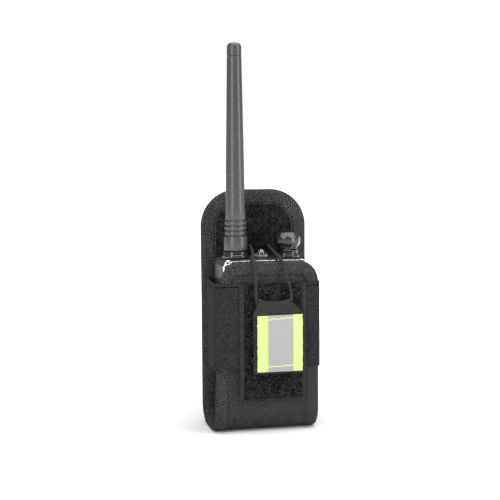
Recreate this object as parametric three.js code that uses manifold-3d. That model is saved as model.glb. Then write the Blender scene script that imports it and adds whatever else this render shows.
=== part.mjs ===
// A handheld two-way radio carried in a nylon belt holster.
//
// The holster is one padded strip bent into a U, closed at the sides by an elastic band. An elastic
// cord runs from the back panel over the radio to a pull tab that grips a loop patch on the front.
// Millimetres. +X is the viewer's right, +Y goes to the back, +Z is up. The whole assembly stands
// on the bend of the U, and its origin is the centre of its base.

import * as THREE from "three";
import { mergeVertices } from "three/addons/utils/BufferGeometryUtils.js";
import Module from "manifold-3d";

const wasm = await Module();
wasm.setup();

// ---------------------------------------------------------------- driving dimensions

const gap = 0.3;                  // between pieces that touch
const slip = 0.25;                // round a piece that slides or turns in a hole

const radio = {
  width: 57.6, depth: 31.9, height: 106,
  cornerRadius: 5, edgeRadius: 3, footRadius: 5, wall: 2,
  controlsBehindFront: 16.6,      // axis of the antenna, knob and torch, behind the front face
  frontDepth: 15.6, chassisDepth: 4.7, trayDepth: 1.7,
  deckHeight: 2.8, headHeight: 25.8,      // the battery ends below the head
};
const sling = {
  sideRoom: 7.9, footRoom: 5.4,   // room left round the radio
  taper: 3.2,                     // how much narrower the front panel is than the back panel
  frontBelowRadio: 0.8, backAboveRadio: 45.4,
  wall: 3, bendRadius: 14,
  backCornerRadius: 25, frontCornerRadius: 14,
  bindingWidth: 10, frontClearance: 0.4, backClearance: 4.3,
};
const elastic = {
  thickness: 1.2, height: 56.6, belowFront: 13.7, cornerCut: 9,
  rearInset: 4.7,                 // how far in from the back panel's edge it is sewn
  flange: 5.5,
};
const loopPatch = { width: 44.8, centreX: 3.8, height: 76, belowElastic: 0.5, thickness: 1.4 };
const beltLoop = { width: 38, height: 76, belowBack: 29.8, sewn: 10, thickness: 1.6, room: 5.2 };
const tab = {
  width: 33.4, centreX: 6.7, abovePatch: 17, shoulderRise: 39, thickness: 1.2,
  sleeveX: 3.7, sleeveWidth: 14, sleeveRise: 46.2, sleeveWall: 0.5, neckRise: 4.6,
};
const hookPatch = { width: 28, height: 34, aboveTab: 3.6, thickness: 1 };
const reflector = { width: 30.2, centreX: 7.4, height: 37, aboveTab: 1.6, thickness: 0.6 };
const stripe = { width: 16.6, centreX: 7.8, thickness: 0.4 };
const cord = {
  diameter: 2.3, sides: 8, steps: 80, anchorSlip: 0.35, anchorDepth: 0.9,
  anchors: [[10.7, 5.8], [-3.1, 6.8]],    // x, and height above the radio, of the sewn ends
};

const antenna = {
  x: -16.6, baseRadius: 7.9, baseHeight: 9.8, ringRadius: 7.3, ringPitch: 3.35, grooveWidth: 0.8,
  grooveRadius: 6.4, grooves: 4, footRadius: 6.8, kneeRadius: 6.35, kneeHeight: 40.1,
  tipRadius: 4.75, height: 137.1, capHeight: 8.8, domeFlatness: 0.6, boreDepth: 3.2,
};
const seat = {
  antennaRadius: 9.1, antennaHeight: 4.6, knobRadius: 7.6, knobHeight: 5, foot: 0.5, footHeight: 1.4,
};
const stub = { radius: 3.1, below: 5.5 };
const knob = {
  x: 18.8, flats: 10, radius: 9, neckRadius: 6.3, topRadius: 6.4, height: 11.6,
  neckHeight: 3.2, shoulder: 0.6, chamfer: 3.2, boreDepth: 7,
};
const shaft = { radius: 3, below: 10 };
const volumeSwitch = { side: 11, height: 7.5 };
const torch = {
  x: 0.9, lensRadius: 3.8, lensHeight: 6, lensSide: 2.6, bezelRadius: 4.9, bezelHeight: 1.4,
  ledRadius: 2.5, ledBelow: 3,
};

const trim = { width: 1.7, depth: 1.2, legs: 9, ringRadius: 2.3, ringInset: 3.9, ringDrop: 1.9 };
const display = { sideRoom: 8.8, height: 20, belowTop: 48.4, windowThickness: 1.2, moduleThickness: 2.2 };
const keypad = {
  columns: 4, rows: 4, gapX: 2.2, gapZ: 2.8, keyDepth: 2.2, footRoom: 12.1, headRoom: 7.1,
  travel: 0.5, cornerRadius: 1.4, membrane: 0.9, membraneEdge: 1,
};
const speaker = {
  radius: 10.2, depth: 4.4, belowTop: 15.4, slots: 5, slotWidth: 26, slotHeight: 1.5, slotPitch: 3.2,
};
const board = { thickness: 1.6, belowTop: 27, edge: 1, jackRoom: 6 };
const shield = { width: 28, height: 36, depth: 3.7, belowBoardTop: 11.4 };
const microphone = { x: -20, radius: 1.5, hole: 0.6, rise: 2.6 };
const sideKeys = {
  proud: 1.5, length: 4.4, depth: 9, forward: 6,
  rows: [                         // name, centre below the radio's top, height
    ["call_button", 20.4, 8.4],
    ["ptt_button", 38.4, 20],
    ["monitor_button", 56.4, 8.4],
  ],
};
const jack = { depth: 9.6, height: 26, belowTop: 36.4, forward: 6, thickness: 1.6 };
const battery = { floor: 3, cellRoom: 1 };
const latch = { width: 18, height: 6, thickness: 1.4, travel: 1.5, belowBattery: 8 };
const screw = { x: 22, radius: 1.2, headRadius: 2.2, headHeight: 1.2, length: 6, rise: 7.1 };
const contact = { width: 14, height: 4, thickness: 3.8, belowBattery: 9.6, pocket: 2.2 };

// ---------------------------------------------------------------- places worked out from them

const radioFront = -radio.controlsBehindFront;
const radioBack = radioFront + radio.depth;
const radioBottom = sling.wall + sling.footRoom;
const radioTop = radioBottom + radio.height;
const half = radio.width / 2;
const beyond = 20;                // how far cutting shapes reach past what they cut

const backWidth = radio.width + 2 * sling.sideRoom;
const frontWidth = backWidth - sling.taper;
const frontTop = radioTop - sling.frontBelowRadio;
const backTop = radioTop + sling.backAboveRadio;
const slingFront = radioFront - sling.frontClearance - sling.wall;
const slingBack = radioBack + sling.backClearance + sling.wall;
const liningBack = slingBack - sling.wall;
const elasticTop = frontTop - elastic.belowFront;
const elasticBottom = elasticTop - elastic.height;
const patchTop = elasticTop - loopPatch.belowElastic;
const patchBottom = patchTop - loopPatch.height;
const tabBottom = patchBottom + tab.abovePatch;
const sleeveHeight = tabBottom + tab.sleeveRise;

const elasticFace = slingFront - gap - elastic.thickness;
const patchFace = elasticFace - gap - loopPatch.thickness;
const hookFace = patchFace - gap - hookPatch.thickness;
const tabFace = hookFace - gap - tab.thickness;
const reflectorFace = tabFace - gap - reflector.thickness;
const stripeFace = reflectorFace - gap - stripe.thickness;
const tabMiddle = tabFace + tab.thickness / 2;
const beltLoopFace = slingBack + gap + beltLoop.room + beltLoop.thickness;

const deckBottom = radioTop - radio.deckHeight;
const coverTop = radioTop - radio.headHeight;
const caseBack = radioFront + radio.frontDepth;
const chassisBack = caseBack + gap + radio.chassisDepth;
const trayBack = chassisBack + gap + radio.trayDepth;
const displayBottom = radioTop - display.belowTop;
const displaySide = half - display.sideRoom;
const boardTop = radioTop - board.belowTop;
const firstRow = radioBottom + keypad.footRoom;
const keyPitchX = radio.width / keypad.columns - keypad.gapX;
const keyPitchZ = (displayBottom - firstRow - keypad.headRoom) / keypad.rows;
const keyWidth = keyPitchX - keypad.gapX;
const keyHeight = keyPitchZ - keypad.gapZ;

// ---------------------------------------------------------------- shape helpers

function solid(geometry) {
  const bare = geometry.clone();
  bare.deleteAttribute("normal");
  bare.deleteAttribute("uv");
  const merged = mergeVertices(bare);
  return new wasm.Manifold(new wasm.Mesh({
    numProp: 3,
    vertProperties: new Float32Array(merged.attributes.position.array),
    triVerts: new Uint32Array(merged.index.array),
  }));
}

function geometryOf(body) {
  const mesh = body.getMesh();
  const geometry = new THREE.BufferGeometry();
  geometry.setAttribute("position", new THREE.BufferAttribute(mesh.vertProperties, 3));
  geometry.setIndex(new THREE.BufferAttribute(mesh.triVerts, 1));
  const flat = geometry.toNonIndexed();
  flat.computeVertexNormals();
  return flat;
}

function block(x0, x1, y0, y1, z0, z1) {
  const geometry = new THREE.BoxGeometry(x1 - x0, y1 - y0, z1 - z0);
  return geometry.translate((x0 + x1) / 2, (y0 + y1) / 2, (z0 + z1) / 2);
}

// A rectangle with its two lower and its two upper corners rounded.
function rectangle(x0, y0, x1, y1, lower, upper) {
  const shape = new THREE.Shape();
  const corner = (x, y, radius, quarter) => {
    if (radius > 0) shape.absarc(x, y, radius, quarter * Math.PI / 2, (quarter + 1) * Math.PI / 2, false);
  };
  shape.moveTo(x0 + lower, y0);
  shape.lineTo(x1 - lower, y0);
  corner(x1 - lower, y0 + lower, lower, -1);
  shape.lineTo(x1, y1 - upper);
  corner(x1 - upper, y1 - upper, upper, 0);
  shape.lineTo(x0 + upper, y1);
  corner(x0 + upper, y1 - upper, upper, 1);
  shape.lineTo(x0, y0 + lower);
  corner(x0 + lower, y0 + lower, lower, 2);
  return shape;
}

function extrude(shape, depth, curveSegments = 5) {
  return new THREE.ExtrudeGeometry(shape, { depth, bevelEnabled: false, curveSegments });
}

// A front-view shape (x, z) made into a plate between two depths.
function plate(shape, y0, y1, curveSegments) {
  return extrude(shape, y1 - y0, curveSegments).rotateX(Math.PI / 2).translate(0, y1, 0);
}

// A side-view shape (y, z) made into a bar between two sides.
function bar(shape, x0, x1, curveSegments) {
  const turn = new THREE.Matrix4().makeBasis(
    new THREE.Vector3(0, 1, 0), new THREE.Vector3(0, 0, 1), new THREE.Vector3(1, 0, 0));
  return extrude(shape, x1 - x0, curveSegments).applyMatrix4(turn).translate(x0, 0, 0);
}

// A plan shape (x, y) made into a column between two heights.
function column(shape, z0, z1, curveSegments) {
  return extrude(shape, z1 - z0, curveSegments).translate(0, 0, z0);
}

function rod(x, y, z0, z1, radius, sides = 20) {
  const geometry = new THREE.CylinderGeometry(radius, radius, z1 - z0, sides);
  return geometry.rotateX(Math.PI / 2).translate(x, y, (z0 + z1) / 2);
}

// A rod that runs front to back.
function pin(x, z, y0, y1, radius, sides = 16) {
  return new THREE.CylinderGeometry(radius, radius, y1 - y0, sides).translate(x, (y0 + y1) / 2, z);
}

// A turned piece: its profile is a list of [radius, height] from the axis round to the axis.
function turned(profile, x, sides) {
  const points = profile.map(([radius, height]) => new THREE.Vector2(radius, height));
  return new THREE.LatheGeometry(points, sides).rotateX(Math.PI / 2).translate(x, 0, 0);
}

function finish(color, roughness, metalness = 0) {
  return new THREE.MeshStandardMaterial({ color, roughness, metalness });
}

const nylon = finish(0x2a292b, 0.9);
const webbing = finish(0x333334, 0.85);
const knitted = finish(0x302e33, 0.95);
const fuzzy = finish(0x1c1b1e, 1);
const limeTape = finish(0xdcf56a, 0.7);
const silverTape = finish(0xc4c4c4, 0.35, 0.3);
const casePlastic = finish(0x232325, 0.4);
const keyRubber = finish(0x3a3a3c, 0.7);
const antennaRubber = finish(0x565558, 0.55);
const chrome = finish(0xe8e8e8, 0.12, 1);
const castMetal = finish(0x8d8f92, 0.5, 1);
const brass = finish(0xb99a56, 0.35, 1);
const clear = finish(0xdfe6ea, 0.08);
const circuit = finish(0x1f5a34, 0.6);

const object = new THREE.Group();
object.position.y = -(stripeFace + beltLoopFace) / 2;

function add(name, shape, material) {
  const geometry = shape.isBufferGeometry ? shape : geometryOf(shape);
  const mesh = new THREE.Mesh(geometry, material);
  mesh.name = name;
  object.add(mesh);
}

// ---------------------------------------------------------------- holster

// The strip narrows evenly from the back panel to the front panel.
function narrowing(y) {
  return 1 - (slingBack - y) / (slingBack - slingFront) * (1 - frontWidth / backWidth);
}

function narrowed(body) {
  const geometry = geometryOf(body);
  const position = geometry.attributes.position;
  for (let i = 0; i < position.count; i += 1) {
    position.setX(i, position.getX(i) * narrowing(position.getY(i)));
  }
  return geometry;
}

// One layer of the U, between two depths measured in from its outer surface.
function slingLayer(outer, inner) {
  const radius = sling.bendRadius;
  const top = backTop + beyond;
  const frontCentre = slingFront + radius;
  const backCentre = slingBack - radius;
  const shape = new THREE.Shape();
  shape.moveTo(slingBack - outer, top);
  shape.lineTo(slingBack - outer, radius);
  shape.absarc(backCentre, radius, radius - outer, 0, -Math.PI / 2, true);
  shape.absarc(frontCentre, radius, radius - outer, -Math.PI / 2, -Math.PI, true);
  shape.lineTo(slingFront + outer, top);
  shape.lineTo(slingFront + inner, top);
  shape.lineTo(slingFront + inner, radius);
  shape.absarc(frontCentre, radius, radius - inner, Math.PI, 1.5 * Math.PI, false);
  shape.absarc(backCentre, radius, radius - inner, 1.5 * Math.PI, 2 * Math.PI, false);
  shape.lineTo(slingBack - inner, top);
  return solid(bar(shape, -backWidth, backWidth, 7));
}

// Everything inside the strip's outline, drawn in by an inset.
function slingOutline(inset) {
  const side = backWidth / 2 - inset;
  const panel = (top, radius) => rectangle(-side, -beyond, side, top - inset, 0, Math.max(radius - inset, 1));
  const middle = (slingFront + slingBack) / 2;
  const back = plate(panel(backTop, sling.backCornerRadius), middle - 1, slingBack + beyond, 8);
  const front = plate(panel(frontTop, sling.frontCornerRadius), slingFront - beyond, middle + 1, 6);
  return solid(back).add(solid(front));
}

function buildHolster() {
  const layer = (sling.wall - gap) / 2;
  const core = slingOutline(sling.bindingWidth);
  let lining = slingLayer(sling.wall - layer, sling.wall).intersect(core);
  for (const [x, rise] of cord.anchors) {
    const radius = cord.diameter / 2 + cord.anchorSlip;
    const hole = pin(x, radioTop + rise, liningBack - 1, liningBack + sling.wall - layer, radius, 12);
    lining = lining.subtract(solid(hole));
  }
  const binding = slingLayer(0, sling.wall)
    .intersect(slingOutline(0))
    .subtract(slingOutline(sling.bindingWidth - gap));
  add("sling_shell", narrowed(slingLayer(0, layer).intersect(core)), nylon);
  add("sling_lining", narrowed(lining), fuzzy);
  add("sling_binding", narrowed(binding), webbing);

  // The band runs outside the front panel and is sewn to the inner face of the back panel.
  const bendsAt = slingFront + sling.wall + gap;
  const rear = liningBack - gap;
  const bandLine = (inner, front, back) => ({
    front, back,
    side: backWidth / 2 * narrowing(slingFront + sling.wall) + inner,
    sewn: backWidth / 2 - elastic.rearInset + inner - gap,
  });
  const outside = bandLine(gap + elastic.thickness, slingFront - gap - elastic.thickness, rear);
  const inside = bandLine(gap, slingFront - gap, rear - elastic.thickness);
  const flangeEnd = inside.sewn - elastic.flange;
  const rightHalf = [
    [outside.side, outside.front], [outside.side, bendsAt], [outside.sewn, outside.back],
    [flangeEnd, outside.back], [flangeEnd, inside.back], [inside.sewn, inside.back],
    [inside.side, bendsAt], [inside.side, inside.front],
  ];
  const leftHalf = rightHalf.map(([x, y]) => [-x, y]).reverse();
  const plan = new THREE.Shape([...rightHalf, ...leftHalf].map(([x, y]) => new THREE.Vector2(x, y)));
  const corner = new THREE.Shape();
  corner.moveTo(liningBack - elastic.cornerCut - 2, elasticBottom - 1);
  corner.lineTo(liningBack + 2, elasticBottom - 1);
  corner.lineTo(liningBack + 2, elasticBottom + elastic.cornerCut + 2);
  const band = solid(column(plan, elasticBottom, elasticTop))
    .subtract(solid(bar(corner, -backWidth, backWidth)));
  add("elastic_band", band, knitted);

  const patch = rectangle(
    loopPatch.centreX - loopPatch.width / 2, patchBottom,
    loopPatch.centreX + loopPatch.width / 2, patchTop, 1, 1);
  add("loop_patch", plate(patch, patchFace, patchFace + loopPatch.thickness, 3), fuzzy);

  const inner = slingBack + gap;
  const bottom = backTop - beltLoop.belowBack - beltLoop.height;
  const top = bottom + beltLoop.height;
  const loop = new THREE.Shape();
  loop.moveTo(inner, bottom);
  loop.lineTo(inner + beltLoop.thickness, bottom);
  loop.lineTo(inner + beltLoop.thickness, bottom + beltLoop.sewn - beltLoop.thickness);
  loop.lineTo(beltLoopFace, bottom + beltLoop.sewn - beltLoop.thickness);
  loop.lineTo(beltLoopFace, top - beltLoop.sewn + beltLoop.thickness);
  loop.lineTo(inner + beltLoop.thickness, top - beltLoop.sewn + beltLoop.thickness);
  loop.lineTo(inner + beltLoop.thickness, top);
  loop.lineTo(inner, top);
  loop.lineTo(inner, top - beltLoop.sewn);
  loop.lineTo(beltLoopFace - beltLoop.thickness, top - beltLoop.sewn);
  loop.lineTo(beltLoopFace - beltLoop.thickness, bottom + beltLoop.sewn);
  loop.lineTo(inner, bottom + beltLoop.sewn);
  add("belt_loop", bar(loop, -beltLoop.width / 2, beltLoop.width / 2), webbing);
}

// ---------------------------------------------------------------- retainer: cord and pull tab

function buildRetainer() {
  const [[firstX, firstRise], [lastX, lastRise]] = cord.anchors;
  const overRadio = (x, y, rise) => [x, y, radioTop + rise];
  const downFront = (x, forward, rise) => [x, slingFront - forward, radioTop + rise];
  const throughTab = (x, rise) => [x, tabMiddle, sleeveHeight + rise];
  const route = [
    overRadio(firstX, liningBack + cord.anchorDepth, firstRise), overRadio(10.2, liningBack - 3, 6.2),
    overRadio(8.6, 10, 6.4), overRadio(8.4, 0, 5.3), overRadio(8, -9, 4),
    downFront(8.5, -5, 2.9), downFront(8.9, -1.6, 2.2), downFront(9.4, 1, 0.8), downFront(10.3, 2, -1.8),
    downFront(12, 2.6, -7.4), downFront(13.1, 4.1, -12.4), downFront(14.4, 4.9, -16.9),
    downFront(15.3, 5.1, -21),
    throughTab(15.6, 3.8), throughTab(14.7, 1.2), throughTab(12.2, 0), throughTab(3.5, 0),
    throughTab(-4.8, 0), throughTab(-7.2, 1.2), throughTab(-8.1, 3.8),
    downFront(-8.2, 5, -18.2), downFront(-8.1, 4.2, -12.4), downFront(-8.3, 2.8, -6.9),
    downFront(-8.8, 2, -1.8), downFront(-9, 1, 0.8), downFront(-8.8, -1.6, 2.4), downFront(-8.1, -5, 3.3),
    overRadio(-6.6, -8, 4.4), overRadio(-5.7, 0, 5.6), overRadio(-4.7, 8, 6.6),
    overRadio(-3.5, liningBack - 3, 7), overRadio(lastX, liningBack + cord.anchorDepth, lastRise),
  ];
  const points = route.map((point) => new THREE.Vector3(...point));
  const path = new THREE.CatmullRomCurve3(points, false, "centripetal");
  const section = new THREE.Shape();
  for (let i = 0; i < cord.sides; i += 1) {
    const angle = (2 * Math.PI * i) / cord.sides;
    const method = i === 0 ? "moveTo" : "lineTo";
    section[method](cord.diameter / 2 * Math.cos(angle), cord.diameter / 2 * Math.sin(angle));
  }
  const along = { extrudePath: path, steps: cord.steps, bevelEnabled: false };
  add("retainer_cord", new THREE.ExtrudeGeometry(section, along), knitted);

  const left = tab.centreX - tab.width / 2;
  const right = tab.centreX + tab.width / 2;
  const shoulder = tabBottom + tab.shoulderRise;
  const neck = shoulder + tab.neckRise;
  const sleeveLeft = tab.sleeveX - tab.sleeveWidth / 2;
  const sleeveRight = tab.sleeveX + tab.sleeveWidth / 2;
  const bore = cord.diameter / 2 + slip;
  const outline = new THREE.Shape();
  outline.moveTo(left, tabBottom);
  outline.lineTo(right, tabBottom);
  outline.lineTo(right, shoulder);
  outline.quadraticCurveTo(right - 1, neck - 1, right - 5, neck);
  outline.lineTo(sleeveRight, sleeveHeight - bore);
  outline.lineTo(sleeveRight, sleeveHeight);
  outline.lineTo(sleeveLeft, sleeveHeight);
  outline.lineTo(sleeveLeft, sleeveHeight - bore);
  outline.lineTo(left + 3.6, neck);
  outline.quadraticCurveTo(left + 0.6, neck - 1, left, shoulder);
  const sleeve = (radius, extra) => new THREE.CylinderGeometry(radius, radius, tab.sleeveWidth + extra, 14)
    .rotateZ(Math.PI / 2).translate(tab.sleeveX, tabMiddle, sleeveHeight);
  const webbingTab = solid(plate(outline, tabFace, tabFace + tab.thickness, 4))
    .add(solid(sleeve(bore + tab.sleeveWall, 0)))
    .subtract(solid(sleeve(bore, 2)));
  add("pull_tab", webbingTab, webbing);

  const hookBottom = tabBottom + hookPatch.aboveTab;
  const hook = rectangle(
    tab.centreX - hookPatch.width / 2, hookBottom,
    tab.centreX + hookPatch.width / 2, hookBottom + hookPatch.height, 1, 1);
  add("tab_hook_patch", plate(hook, hookFace, hookFace + hookPatch.thickness, 3), fuzzy);

  const tapeBottom = tabBottom + reflector.aboveTab;
  const tape = (piece) => rectangle(
    piece.centreX - piece.width / 2, tapeBottom,
    piece.centreX + piece.width / 2, tapeBottom + reflector.height, 0, 0);
  add("reflective_patch", plate(tape(reflector), reflectorFace, reflectorFace + reflector.thickness), limeTape);
  add("reflective_stripe", plate(tape(stripe), stripeFace, stripeFace + stripe.thickness), silverTape);
}

// ---------------------------------------------------------------- radio body

// The radio's whole rounded outside, which its outer pieces are cut from.
function radioHull() {
  const front = rectangle(-half, radioBottom, half, radioTop, radio.footRadius, radio.cornerRadius);
  const plan = rectangle(-half, radioFront, half, radioBack, radio.edgeRadius, radio.edgeRadius);
  const foot = rectangle(radioFront, radioBottom, radioBack, radioTop + beyond, radio.footRadius, 0);
  return solid(plate(front, radioFront - 1, radioBack + 1, 5))
    .intersect(solid(column(plan, radioBottom - 1, radioTop + 1, 3)))
    .intersect(solid(bar(foot, -half - 1, half + 1, 4)));
}

// The bright trim round the front's top edge: a band along the edge, with a ring near each end.
function trimShape(extra) {
  const depth = trim.depth + extra;
  const outer = rectangle(-half - 1, radioBottom - 1, half + 1, radioTop + 1, 0, 0);
  const width = trim.width + extra;
  const inner = rectangle(
    -half + width, radioBottom - 2, half - width, radioTop - width, 0, radio.cornerRadius - trim.width);
  const legs = block(-half - 2, half + 2, radioFront - 2, radioFront + depth + 2,
    deckBottom - trim.legs - extra, radioTop + 2);
  let band = solid(plate(outer, radioFront - 1, radioFront + depth))
    .subtract(solid(plate(inner, radioFront - 2, radioFront + depth + 1, 5)))
    .intersect(solid(legs));
  for (const side of [-1, 1]) {
    const x = side * (half - trim.ringInset);
    const ring = pin(x, radioTop - trim.ringDrop, radioFront - 1, radioFront + depth, trim.ringRadius + extra);
    band = band.add(solid(ring));
  }
  return band;
}

function keyPlaces() {
  const places = [];
  for (let row = 0; row < keypad.rows; row += 1) {
    for (let place = 0; place < keypad.columns; place += 1) {
      places.push([(place - (keypad.columns - 1) / 2) * keyPitchX, firstRow + row * keyPitchZ]);
    }
  }
  return places;
}

function keyShape(x, z, extra) {
  const w = keyWidth / 2 + extra;
  const h = keyHeight / 2 + extra;
  const radius = Math.min(keypad.cornerRadius, keyHeight / 3);
  return rectangle(x - w, z - h, x + w, z + h, radius, radius);
}

function buildCases() {
  const hull = radioHull();
  const wall = radio.wall;
  const within = (x0, x1, y0, y1, z0, z1) => hull.intersect(solid(block(x0, x1, y0, y1, z0, z1)));
  const trimRoom = trimShape(gap);
  const side = half + 1;

  const cavity = (y0, y1, z0, z1 = radioTop) => solid(block(-half + wall, half - wall, y0, y1, z0, z1));

  let front = within(-side, side, radioFront - 1, caseBack, 0, deckBottom - gap)
    .subtract(cavity(radioFront + wall, caseBack + 1, radioBottom + wall))
    .subtract(trimRoom);
  for (const [x, z] of keyPlaces()) {
    front = front.subtract(solid(plate(keyShape(x, z, slip), radioFront - 1, radioFront + wall + 1, 2)));
  }
  for (let i = 0; i < speaker.slots; i += 1) {
    const z = radioTop - speaker.belowTop + (i - (speaker.slots - 1) / 2) * speaker.slotPitch;
    front = front.subtract(solid(block(
      -speaker.slotWidth / 2, speaker.slotWidth / 2, radioFront - 1, radioFront + wall + 1,
      z - speaker.slotHeight / 2, z + speaker.slotHeight / 2)));
  }
  const opening = block(
    -displaySide - gap, displaySide + gap, radioFront - 1, radioFront + wall + 1,
    displayBottom - gap, displayBottom + display.height + gap);
  front = front.subtract(solid(opening));
  for (const [, belowTop, length] of sideKeys.rows) {
    const z = radioTop - belowTop;
    front = front.subtract(solid(block(
      -half - 1, -half + wall + 1,
      -sideKeys.depth / 2 - slip - sideKeys.forward, sideKeys.depth / 2 + slip - sideKeys.forward,
      z - length / 2 - slip, z + length / 2 + slip)));
  }
  const soundHole = pin(
    microphone.x, radioBottom + wall + microphone.rise, radioFront - 1, radioFront + wall + 1,
    microphone.hole, 8);
  front = front.subtract(solid(soundHole));
  add("front_case", front, casePlastic);

  const contactBottom = coverTop - contact.belowBattery;
  const screwHeight = radioBottom + screw.rise;
  let chassis = within(-side, side, caseBack + gap, chassisBack, 0, deckBottom - gap)
    .add(within(-side, side, caseBack + gap, radioBack + 1, coverTop + gap, deckBottom - gap))
    .subtract(cavity(caseBack, caseBack + gap + contact.pocket, radioBottom + wall))
    .subtract(cavity(caseBack, radioBack - wall, coverTop + gap + wall))
    .subtract(solid(block(
      -contact.width / 2 - gap, contact.width / 2 + gap, caseBack, chassisBack + 1,
      contactBottom - gap, contactBottom + contact.height + gap)));
  const headFront = chassisBack - screw.headHeight;
  for (const x of [-screw.x, screw.x]) {
    chassis = chassis
      .subtract(solid(pin(x, screwHeight, caseBack, chassisBack + 1, screw.radius + slip)))
      .subtract(solid(pin(x, screwHeight, headFront - gap, chassisBack + 1, screw.headRadius + slip)));
  }
  add("rear_chassis", chassis, castMetal);

  const deck = within(-side, side, radioFront - 1, radioBack + 1, deckBottom, radioTop + 1)
    .subtract(trimRoom)
    .subtract(solid(rod(antenna.x, 0, deckBottom - 1, radioTop + 1, stub.radius + gap)))
    .subtract(solid(rod(knob.x, 0, deckBottom - 1, radioTop + 1, shaft.radius + slip)))
    .subtract(solid(rod(torch.x, 0, deckBottom - 1, radioTop + 1, torch.ledRadius + gap)));
  add("top_panel", deck, casePlastic);
  add("chrome_trim", hull.intersect(trimShape(0)), chrome);

  const tray = within(-side, side, chassisBack + gap, trayBack, 0, coverTop);
  add("battery_tray", tray, casePlastic);
  let cover = within(-side, side, trayBack + gap, radioBack + 1, 0, coverTop)
    .subtract(cavity(trayBack, radioBack - wall, radioBottom + wall + battery.floor, coverTop - wall));
  const latchTop = coverTop - latch.belowBattery;
  const latchPlace = (extra, depth, drop) => block(
    -latch.width / 2 - extra, latch.width / 2 + extra, radioBack - depth, radioBack + 1,
    latchTop - latch.height - drop - extra, latchTop + extra);
  cover = cover.subtract(solid(latchPlace(slip, latch.thickness + slip, latch.travel)));
  add("battery_cover", cover, casePlastic);
  add("battery_latch", solid(latchPlace(0, latch.thickness, 0)).intersect(hull), casePlastic);
  add("battery_cell", block(
    -half + wall + battery.cellRoom, half - wall - battery.cellRoom, trayBack + gap, radioBack - wall - gap,
    radioBottom + wall + battery.floor + battery.cellRoom, coverTop - wall - battery.cellRoom), silverTape);
  add("battery_contact", block(
    -contact.width / 2, contact.width / 2, chassisBack - contact.thickness, chassisBack,
    contactBottom, contactBottom + contact.height), brass);
  const names = { "-1": "case_screw_left", 1: "case_screw_right" };
  for (const sign of [-1, 1]) {
    const x = sign * screw.x;
    const head = pin(x, screwHeight, headFront, chassisBack, screw.headRadius);
    const shankFront = chassisBack - screw.length;
    const shank = pin(x, screwHeight, shankFront, headFront + screw.headHeight / 2, screw.radius, 12);
    add(names[sign], solid(head).add(solid(shank)), castMetal);
  }
}

function buildInside() {
  const wall = radio.wall;
  const inside = radioFront + wall;
  const membraneFace = inside + keypad.keyDepth - wall + keypad.travel + gap;
  const boardFace = membraneFace + keypad.membrane + gap;
  const boardBack = boardFace + board.thickness;
  const windowShape = rectangle(
    -displaySide, displayBottom, displaySide, displayBottom + display.height, 0, 0);
  add("display_window", plate(windowShape, radioFront, radioFront + display.windowThickness), clear);
  add("display_module", block(
    -displaySide, displaySide, boardFace - gap - display.moduleThickness, boardFace - gap,
    displayBottom, displayBottom + display.height), circuit);
  const padBottom = firstRow - keyHeight / 2 - keypad.membraneEdge;
  const padTop = firstRow + (keypad.rows - 1) * keyPitchZ + keyHeight / 2 + keypad.membraneEdge;
  const padSide = (keypad.columns - 1) / 2 * keyPitchX + keyWidth / 2 + keypad.membraneEdge;
  add("keypad_membrane", block(
    -padSide, padSide, membraneFace, membraneFace + keypad.membrane, padBottom, padTop), keyRubber);
  add("main_board", block(
    -half + wall + board.edge, half - wall - board.edge - board.jackRoom, boardFace, boardBack,
    radioBottom + wall + board.edge, boardTop), circuit);
  const shieldTop = boardTop - shield.belowBoardTop;
  add("rf_shield", block(
    -shield.width / 2, shield.width / 2, boardBack + gap, boardBack + gap + shield.depth,
    shieldTop - shield.height, shieldTop), castMetal);
  add("microphone", pin(
    microphone.x, radioBottom + wall + microphone.rise, inside + gap, boardFace - gap,
    microphone.radius, 12), castMetal);
  const speakerHeight = radioTop - speaker.belowTop;
  add("speaker", pin(
    0, speakerHeight, inside + gap, inside + gap + speaker.depth, speaker.radius, 20), keyRubber);

  let index = 1;
  for (const [x, z] of keyPlaces()) {
    const name = `key_${String(index).padStart(2, "0")}`;
    add(name, plate(keyShape(x, z, 0), radioFront, radioFront + keypad.keyDepth, 2), keyRubber);
    index += 1;
  }
  for (const [name, belowTop, length] of sideKeys.rows) {
    const z = radioTop - belowTop;
    const button = block(
      -half - sideKeys.proud, -half - sideKeys.proud + sideKeys.length,
      -sideKeys.depth / 2 - sideKeys.forward, sideKeys.depth / 2 - sideKeys.forward,
      z - length / 2, z + length / 2);
    add(name, button, keyRubber);
  }
  const jackHeight = radioTop - jack.belowTop;
  add("jack_cover", block(
    half + gap, half + gap + jack.thickness, -jack.depth / 2 - jack.forward, jack.depth / 2 - jack.forward,
    jackHeight - jack.height / 2, jackHeight + jack.height / 2), keyRubber);
}

// ---------------------------------------------------------------- controls on the deck

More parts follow.
